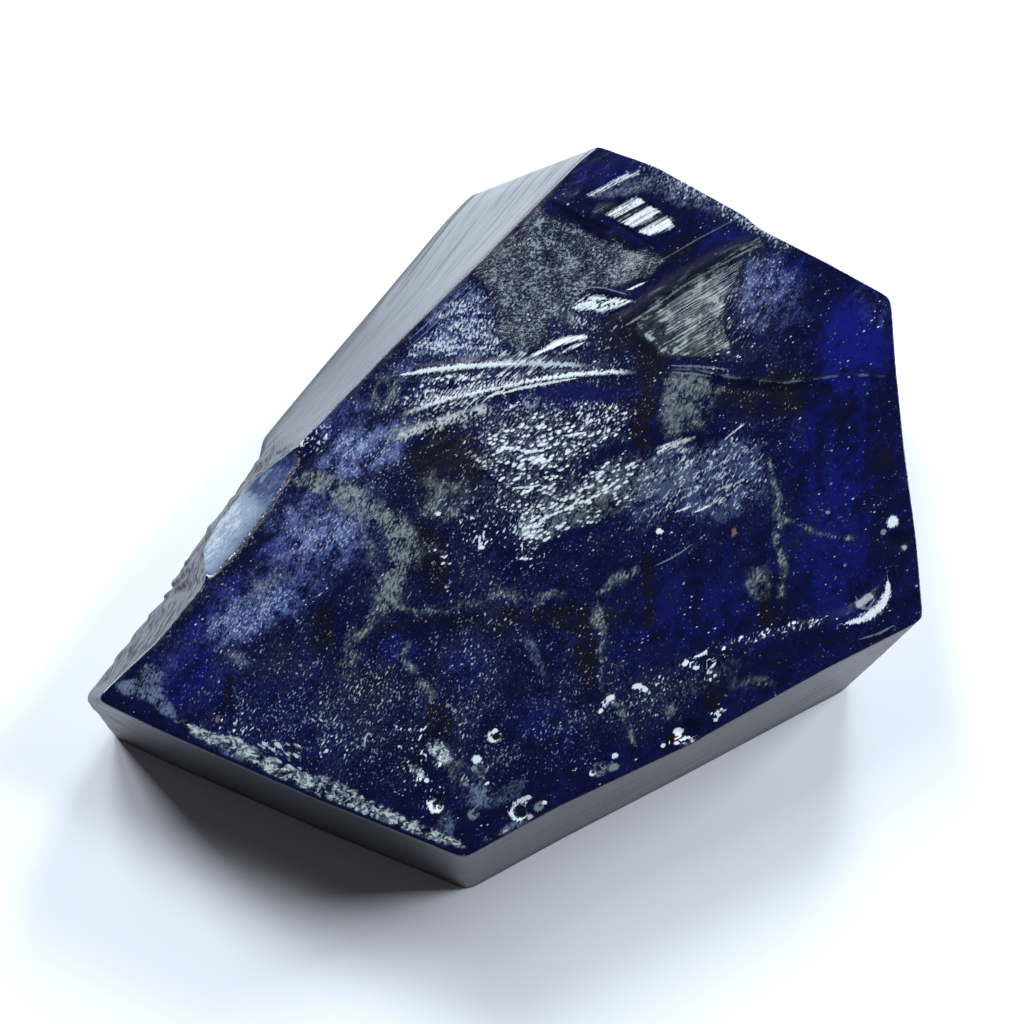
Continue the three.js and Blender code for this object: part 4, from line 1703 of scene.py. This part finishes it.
# Dark and greenish grey minerals in the blue: blotches, veins, haze, thin films and two whole facets. The
# grey of the haze and of the striated facet is partly mineral colour and partly painted sheen of facets that
# face a light.
MINERALS_AND_SHEEN = (
    Layer(Inside(Mark.DARK, ((MOTTLING, 5.0), (DUST, 3.0)), 0.1, 0.8, 0.9), "#08090f", 0.15),
    Layer(Inside(Mark.VEIN, ((MOTTLING, 6.0), (DUST, 5.0)), 0.1, 1.2, 0.85), "#2d363e", 0.3),
    Layer(Inside(Mark.VEIN, ((MOTTLING, 5.0), (DUST, 6.0), (FLECKS, 6.0)), 0.6, 1.9, 0.8), "#68726f", 0.3),
    # Haze: partly greenish mineral, partly painted sheen.
    Layer(Inside(Mark.HAZE, ((MOTTLING, 5.0), (DUST, 4.0)), 0.2, 1.1, 0.85), "#2f373a", 0.3),
    Layer(Inside(Mark.HAZE, ((MOTTLING, 5.0), (DUST, 5.0), (FLECKS, 5.0)), 0.6, 1.9, 0.75), "#5f6969", 0.3),
    Layer(Inside(Mark.FILM, ((MOTTLING, 4.0), (DUST, 6.0)), 0.1, 1.4, 0.85), "#4f5d72", 0.35),
    Layer(Inside(Mark.GRAIN, ((MOTTLING, 4.0),), 0.2, 0.7, 0.9), "#0d1423", 0.2),
    Layer(Mask(Mark.GRAIN, ((GRANULES, 8.0), (MOTTLING, 4.0)), 2.0, 3.4, 0.9, gain=2.0), "#6b7982", 0.35),
    # The striated facet: its grey lines are partly painted sheen.
    Layer(Inside(Mark.STRIA, ((MOTTLING, 5.0),), 0.1, 0.9, 0.9), "#181f23", 0.2),
    Layer(Mask(Mark.STRIA, ((STRIATION, 5.0), (MOTTLING, 6.0)), 2.1, 3.0, 0.9, gain=2.0), "#78827f", 0.3),
)

# Ledges of the break, where light is painted: strewn pale specks, partly dust and partly painted glints;
# grey-blue films with pale dashes in fans, level and rising bands, scales and hatching, which are painted
# sheen and glints;
# and the painted highlight of the tilted facets.
SPECKS_AND_PAINTED_GLINTS = (
    Layer(Mask(Mark.SPECKS, ((SMALL_SPOTS, 5.0), (MOTTLING, 3.0)), 1.7, 2.7, 0.95, gain=2.0), "#5e6979", 0.4),
    Layer(Mask(Mark.SPECKS, ((SPOTS, 5.0), (BLOTCHES, 3.0)), 2.2, 2.9, 0.95, gain=2.0), "#868f96", 0.4),
    Layer(Mask(Mark.GLINT, ((SPOTS, 5.0), (MOTTLING, 3.0)), 2.1, 2.7, gain=2.0), "#a5b0b4", 0.35),
    Layer(Inside(Mark.FAN, ((MOTTLING, 3.0), (DUST, 5.0)), 0.2, 1.4, 0.8), "#2f3b5a", 0.3),
    Layer(Mask(Mark.FAN, ((LEVEL_BANDS, 3.0), (DUST, 7.0)), 1.75, 2.8, gain=2.0), "#a0acb2", 0.35),
    Layer(Inside(Mark.WOVEN, ((MOTTLING, 4.0), (DUST, 5.0)), 0.2, 1.2, 0.85), "#222f50", 0.3),
    Layer(
        Mask(Mark.WOVEN, ((WEAVE, 5.0), (DUST, 4.0), (RISING_BANDS, 3.0)), 1.9, 3.1, 0.9, gain=2.0),
        "#909c9f",
        0.35,
    ),
    Layer(Inside(Mark.LEVEL, ((MOTTLING, 3.0), (DUST, 5.0)), 0.3, 1.4, 0.6), "#20283a", 0.3),
    Layer(Mask(Mark.LEVEL, ((LEVEL_BANDS, 5.0), (BEADS, 6.0)), 3.1, 4.1, gain=3.0), "#b0babb", 0.35),
    Layer(Inside(Mark.RISING, ((MOTTLING, 3.0), (DUST, 5.0)), 0.2, 1.4, 0.8), "#323b41", 0.3),
    Layer(Mask(Mark.RISING, ((RISING_BANDS, 3.0), (DUST, 7.0)), 1.9, 2.9, 0.8, gain=2.0), "#6d7987", 0.3),
    Layer(Mask(Mark.RISING, ((RISING_BANDS, 6.0), (BEADS, 6.0)), 2.8, 3.9, gain=3.0), "#a8b2b2", 0.35),
    Layer(Mask(Mark.SCALES, ((SCALES, 4.0), (MOTTLING, 4.0)), 2.8, 3.6, 0.9, gain=3.0), "#97a1a3", 0.35),
    Layer(Mask(Mark.HATCH, ((HATCHING, 4.0), (MOTTLING, 2.0)), 2.0, 2.4, gain=2.0), "#9aa5a6", 0.35),
    # Painted highlight on the small tilted facets.
    Layer(Inside(Mark.FACET_HIGHLIGHT, ((STRIATION, 6.0), (DUST, 4.0)), 0.3, 1.0, 0.95), "#a3abab", 0.3),
)

# Ridges and steps: painted highlights along their crests, and dark lines on their far sides that are partly
# painted shade; and a calm stretch beside them.
LEDGES = (
    Layer(LineMask(Line.UPPER_RIDGE, 0.0, 0.1, 0.06, ((DUST, 0.8),), 0.9), "#96a1a6", 0.35),
    Layer(LineMask(Line.UPPER_RIDGE, -0.32, 0.1, 0.08, ((DUST, 0.6),), 0.7), "#060a2a", 0.3),
    Layer(LineMask(Line.UPPER_RIDGE, 0.28, 0.06, 0.06, ((DUST, 0.4),), 0.8), "#060a2a", 0.3),
    Layer(LineMask(Line.LOWER_RIDGE, 0.0, 0.09, 0.05, ((DUST, 0.7),)), "#b4bdc0", 0.35),
    Layer(LineMask(Line.LOWER_RIDGE, 0.17, 0.03, 0.03, ((DUST, 0.3),), 0.8), "#05081a", 0.35),
    Layer(
        LineMask(Line.SHORT_RIDGE, 0.0, 0.04, 0.12, ((SPOTS, 1.2), (MOTTLING, 1.0), (DUST, 1.0)), 0.9),
        "#8a938f",
        0.4,
    ),
    Layer(LineMask(Line.RIGHT_LINE, -0.04, 0.03, 0.03, ((DUST, 0.3),), 0.9), "#05060c", 0.3),
    Layer(LineMask(Line.RIGHT_LINE, 0.04, 0.02, 0.03, ((MOTTLING, 0.4),), 0.7), "#465062", 0.3),
    Layer(LineMask(Line.LONG_STEP, -0.1, 0.3, 0.15, ((DUST, 0.4),), 0.8), "#060922", 0.3),
    Layer(LineMask(Line.LONG_STEP, 0.42, 0.03, 0.04, ((DUST, 0.2),), 0.8), "#75828c", 0.3),
    Layer(LineMask(Line.LEFT, -0.14, 0.1, 0.06, ((MOTTLING, 0.8),), 0.7), "#060a20", 0.3),
    Layer(Mask(Mark.CALM, ((MOTTLING, 1.5),), 0.3, 0.7, 0.9), "#070b38", 0.12),
)

# Crushed stone and painted light: the crust along the front edge; chips and burst bubbles, with painted shade
# in dark hollows and painted highlights on some white rims; rusty grains; and strokes, mostly painted
# highlights.
CRUST_CHIPS_AND_STROKES = (
    Layer(Inside(Mark.CRUST, ((MOTTLING, 6.0), (CRYSTALS, 5.0)), 0.3, 1.1, 0.9), "#39434d", 0.4),
    Layer(Inside(Mark.CRUST, ((MOTTLING, 7.0), (CRYSTALS, 10.0)), 0.9, 2.3, 0.95), "#949f9c", 0.5),
    Layer(ChipMask(Line.DARK_CHIPS, 0.2, ((DUST, 2.0),), 0.9), "#0a0808", 0.15),
    Layer(ChipMask(Line.GREY_CHIPS, 0.25, ((DUST, 2.0),), 0.85), "#5d6970", 0.4),
    Layer(ChipMask(Line.WHITE_CHIPS, 0.18, ((DUST, 1.5),)), "#b0b9bb", 0.4),
    Layer(ChipMask(Line.RUST, 0.4, ((DUST, 3.0),), 0.8), "#583d28", 0.5),
    Layer(LineMask(Line.FAINT_STROKES, 0.0, 0.9, 0.6, ((DUST, 4.0),), 0.9), "#5f6b7a", 0.35),
    Layer(LineMask(Line.STROKES, 0.0, 0.9, 0.4, ((DUST, 4.0),)), "#b4bcbd", 0.35),
)

# The pale chip on the left side, deep blue at its upper end, with a dark line round it.
PALE_CHIP = (
    Layer(Mask(Mark.CHIP, (), 0.0, 0.16), "#3a4d68", 0.4),
    Layer(Inside(Mark.CHIP, ((WISPS, 2.0), (DUST, 3.0)), 0.05, 0.9, 0.9), "#687886", 0.5),
    Layer(Inside(Mark.CHIP, ((WISPS, 8.0), (DUST, 6.0)), 0.9, 2.2, 0.7), "#9aa6ac", 0.5),
    Layer(Inside(Mark.DEEP, ((WISPS, 3.0), (DUST, 2.0)), 0.1, 1.0, 0.95), "#0e2450", 0.15),
    Layer(LineMask(Line.CHIP_EDGE, 0.0, 0.07, 0.06, ((DUST, 0.8),)), "#17120f", 0.9),
)

# Open cracks, whose dark is painted shade, and the dark lines where the broad face meets the sides, with a
# thin blue line of painted light showing through the front left rim.
CRACKS_AND_EDGES = (
    # Painted shade in the open cracks.
    Layer(Mask(Mark.CRACK, (), 0.3, 0.6), "#05051f", 0.15),
    Layer(LineMask(Line.FRONT_LEFT, 0.0, 0.14, 0.05, ((MOTTLING, 0.5),), 0.95), "#050922", 0.15),
    # Painted light showing through the rim.
    Layer(LineMask(Line.FRONT_LEFT, 0.0, 0.05, 0.04, (), 0.8), "#0e1a50", 0.3),
    Layer(LineMask(Line.FRONT_RIGHT, 0.0, 0.1, 0.06, ((DUST, 0.5),), 0.8), "#050820", 0.3),
    Layer(LineMask(Line.LOWER_LEFT, 0.0, 0.07, 0.1, ((MOTTLING, 1.2), (DUST, 0.8)), 0.9), "#070b1c", 0.3),
)

# Opaque blue stone, freshly broken: the break is glassy, so it stays dark wherever it doesn't mirror a light.
# The white glints on its tiny ledges and ridges are painted highlights, pale colour over a little real
# relief.
# Crushed stone along chips is whitish.
BROKEN_STONE = StoneFinish(
    name="broken stone",
    ground="#040722",
    ground_roughness=0.12,
    ior=1.55,
    layers=(
        *BLUE_GROUND,
        *MINERALS_AND_SHEEN,
        *SPECKS_AND_PAINTED_GLINTS,
        *LEDGES,
        *CRUST_CHIPS_AND_STROKES,
        *PALE_CHIP,
        *CRACKS_AND_EDGES,
    ),
    reliefs=(
        Relief(Grain(1.4, 0.8, 40.0, 2.0), 0.03),
        Relief(SPOTS, 0.03, Mask(Mark.GLINT, (), 0.1, 1.0)),
        Relief(BEADS, 0.02, Mask(Mark.LEVEL, (), 0.1, 1.0)),
        Relief(BEADS, 0.02, Mask(Mark.RISING, (), 0.1, 1.0)),
        Relief(GRANULES, 0.02, Mask(Mark.GRAIN, (), 0.2, 0.8)),
        Relief(STRIATION, 0.015, Mask(Mark.STRIA, (), 0.2, 0.8)),
    ),
)

# Grains of the sawn sides, in mm along and up the side. A real saw mark is about 0.05 mm wide, and is drawn
# at 0.2 mm so that it shows.
SAW_STREAKS = Grain(5.0, 0.2, 6.0, 4.0, 0.6)
RAGGED_STREAKS = Grain(1.5, 0.16, 20.0, 4.0, 0.65, 0.3)
PORES = Grain(0.3, 0.12, 10.0, 1.0)

# The same stone, cut with a diamond saw and left unpolished: a satin grey face with streaks along the cut.
SAWN_STONE = StoneFinish(
    name="sawn stone",
    ground="#373a44",
    ground_roughness=0.3,
    ior=1.7,
    layers=(
        # Painted sheen: the upper left side is paler.
        Layer(Mask(Mark.PALE_SHEEN, (), 0.0, 1.0), "#6c7375", 0.3),
        Layer(Mask(None, ((SAW_STREAKS, 4.0),), -0.2, 0.7, 0.75), "#1d2029", 0.4),
        Layer(Mask(Mark.RAGGED, (), 0.0, 1.0, 0.8), "#4c505b", 0.3),
        Layer(Mask(Mark.RAGGED, ((RAGGED_STREAKS, 8.0),), 1.8, 2.3, 0.95, gain=2.0), "#0b0e16", 0.7),
        Layer(Mask(None, ((PORES, 4.0),), 0.9, 1.1, 0.6), "#0e1017", 0.5),
        # Painted shade along the foot of the sides, darker down to the sheet.
        Layer(Mask(Mark.FOOT_SHADE, ((SAW_STREAKS, 2.0),), 0.3, 1.0, 0.8), "#0a0c12", 0.5),
    ),
    reliefs=(
        Relief(SAW_STREAKS, 0.014),
        Relief(RAGGED_STREAKS, 0.14, Mask(Mark.RAGGED, (), 0.0, 1.0)),
    ),
    uses_side_map=True,
)


@dataclass(frozen=True)
class SoftLight:
    """A square soft light that faces the stone. The azimuth is measured from +Y towards +X, in degrees."""

    name: str
    azimuth: float
    elevation: float
    watts: float
    distance: float = 300.0
    side: float = 75.0
    colour: str = "#ecf4ff"

    def add(self) -> None:
        """Adds the light, with its sizes in mm."""
        a, e = math.radians(self.azimuth), math.radians(self.elevation)
        away = Vector((math.sin(a) * math.cos(e), math.cos(a) * math.cos(e), math.sin(e)))
        data = bpy.data.lights.new(self.name, "AREA")
        data.shape = "RECTANGLE"
        data.size = data.size_y = self.side * MM
        data.energy = self.watts
        data.color = linear(self.colour)[:3]
        light = bpy.data.objects.new(self.name, data)
        light.location = away * self.distance * MM
        light.rotation_euler = away.to_track_quat("Z", "Y").to_euler()
        bpy.context.scene.collection.objects.link(light)


@dataclass(frozen=True)
class Studio:
    """The white sheet, the soft lights and the camera."""

    sheet_width: float = 1600.0
    sheet_colour: str = "#eef0f3"
    sheet_roughness: float = 0.9
    sheet_specular: float = 0.2
    air_colour: str = "#d6d0dc"
    air_strength: float = 0.07
    camera_place: tuple[float, float, float] = (0.4, -60.79, 230.7)
    camera_elevation: float = 75.0
    lens: float = 170.0
    lights: tuple[SoftLight, ...] = (
        SoftLight("back left", -40.0, 27.0, 0.68),
        SoftLight("back left, upper", -20.0, 42.0, 0.4),
        SoftLight("back left, top", -20.0, 57.0, 0.18),
        SoftLight("back right", 20.0, 27.0, 0.64),
        SoftLight("right, lower", 60.0, 27.0, 0.58),
        SoftLight("right", 80.0, 42.0, 0.46),
    )

    def add_sheet(self) -> None:
        """Adds the sheet of white paper that the stone lies on."""
        half = self.sheet_width / 2 * MM
        mesh = bpy.data.meshes.new("sheet")
        corners = [(-half, -half, 0), (half, -half, 0), (half, half, 0), (-half, half, 0)]
        mesh.from_pydata(corners, [], [(0, 1, 2, 3)])
        material = bpy.data.materials.new("white paper")
        material.use_nodes = True
        shader = material.node_tree.nodes["Principled BSDF"]
        shader.inputs["Base Color"].default_value = linear(self.sheet_colour)
        shader.inputs["Roughness"].default_value = self.sheet_roughness
        shader.inputs["Specular IOR Level"].default_value = self.sheet_specular
        mesh.materials.append(material)
        sheet = bpy.data.objects.new("sheet", mesh)
        bpy.context.scene.collection.objects.link(sheet)

    def add_air(self) -> None:
        """Sets the dim, even light of the room."""
        world = bpy.data.worlds.new("room")
        world.use_nodes = True
        background = world.node_tree.nodes["Background"]
        background.inputs["Color"].default_value = linear(self.air_colour)
        background.inputs["Strength"].default_value = self.air_strength
        bpy.context.scene.world = world

    def add_camera(self) -> None:
        """Adds the camera, which looks along +Y and down."""
        data = bpy.data.cameras.new("camera")
        data.lens = self.lens
        data.sensor_width = 36.0
        data.clip_start = 0.01
        camera = bpy.data.objects.new("camera", data)
        camera.location = Vector(self.camera_place) * MM
        camera.rotation_euler = (math.radians(90 - self.camera_elevation), 0.0, 0.0)
        bpy.context.scene.collection.objects.link(camera)
        bpy.context.scene.camera = camera

    def build(self) -> None:
        """Adds everything round the stone."""
        self.add_sheet()
        self.add_air()
        for light in self.lights:
            light.add()
        self.add_camera()
        bpy.context.scene.view_settings.view_transform = "Standard"


def main() -> None:
    """Builds the stone and what is round it."""
    logging.basicConfig(level=logging.INFO, format="%(name)s: %(message)s")
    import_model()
    stone = Sapphire().build()
    stone.data.materials.append(BROKEN_STONE.material())
    stone.data.materials.append(SAWN_STONE.material())
    bpy.context.scene.collection.objects.link(stone)
    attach(stone, "root")
    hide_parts("stone")
    LOG.info("stone: %d vertices, %d faces", len(stone.data.vertices), len(stone.data.polygons))
    Studio().build()
    LOG.info("studio: %d lights", len(Studio().lights))


if __name__ == "__main__":
    main()
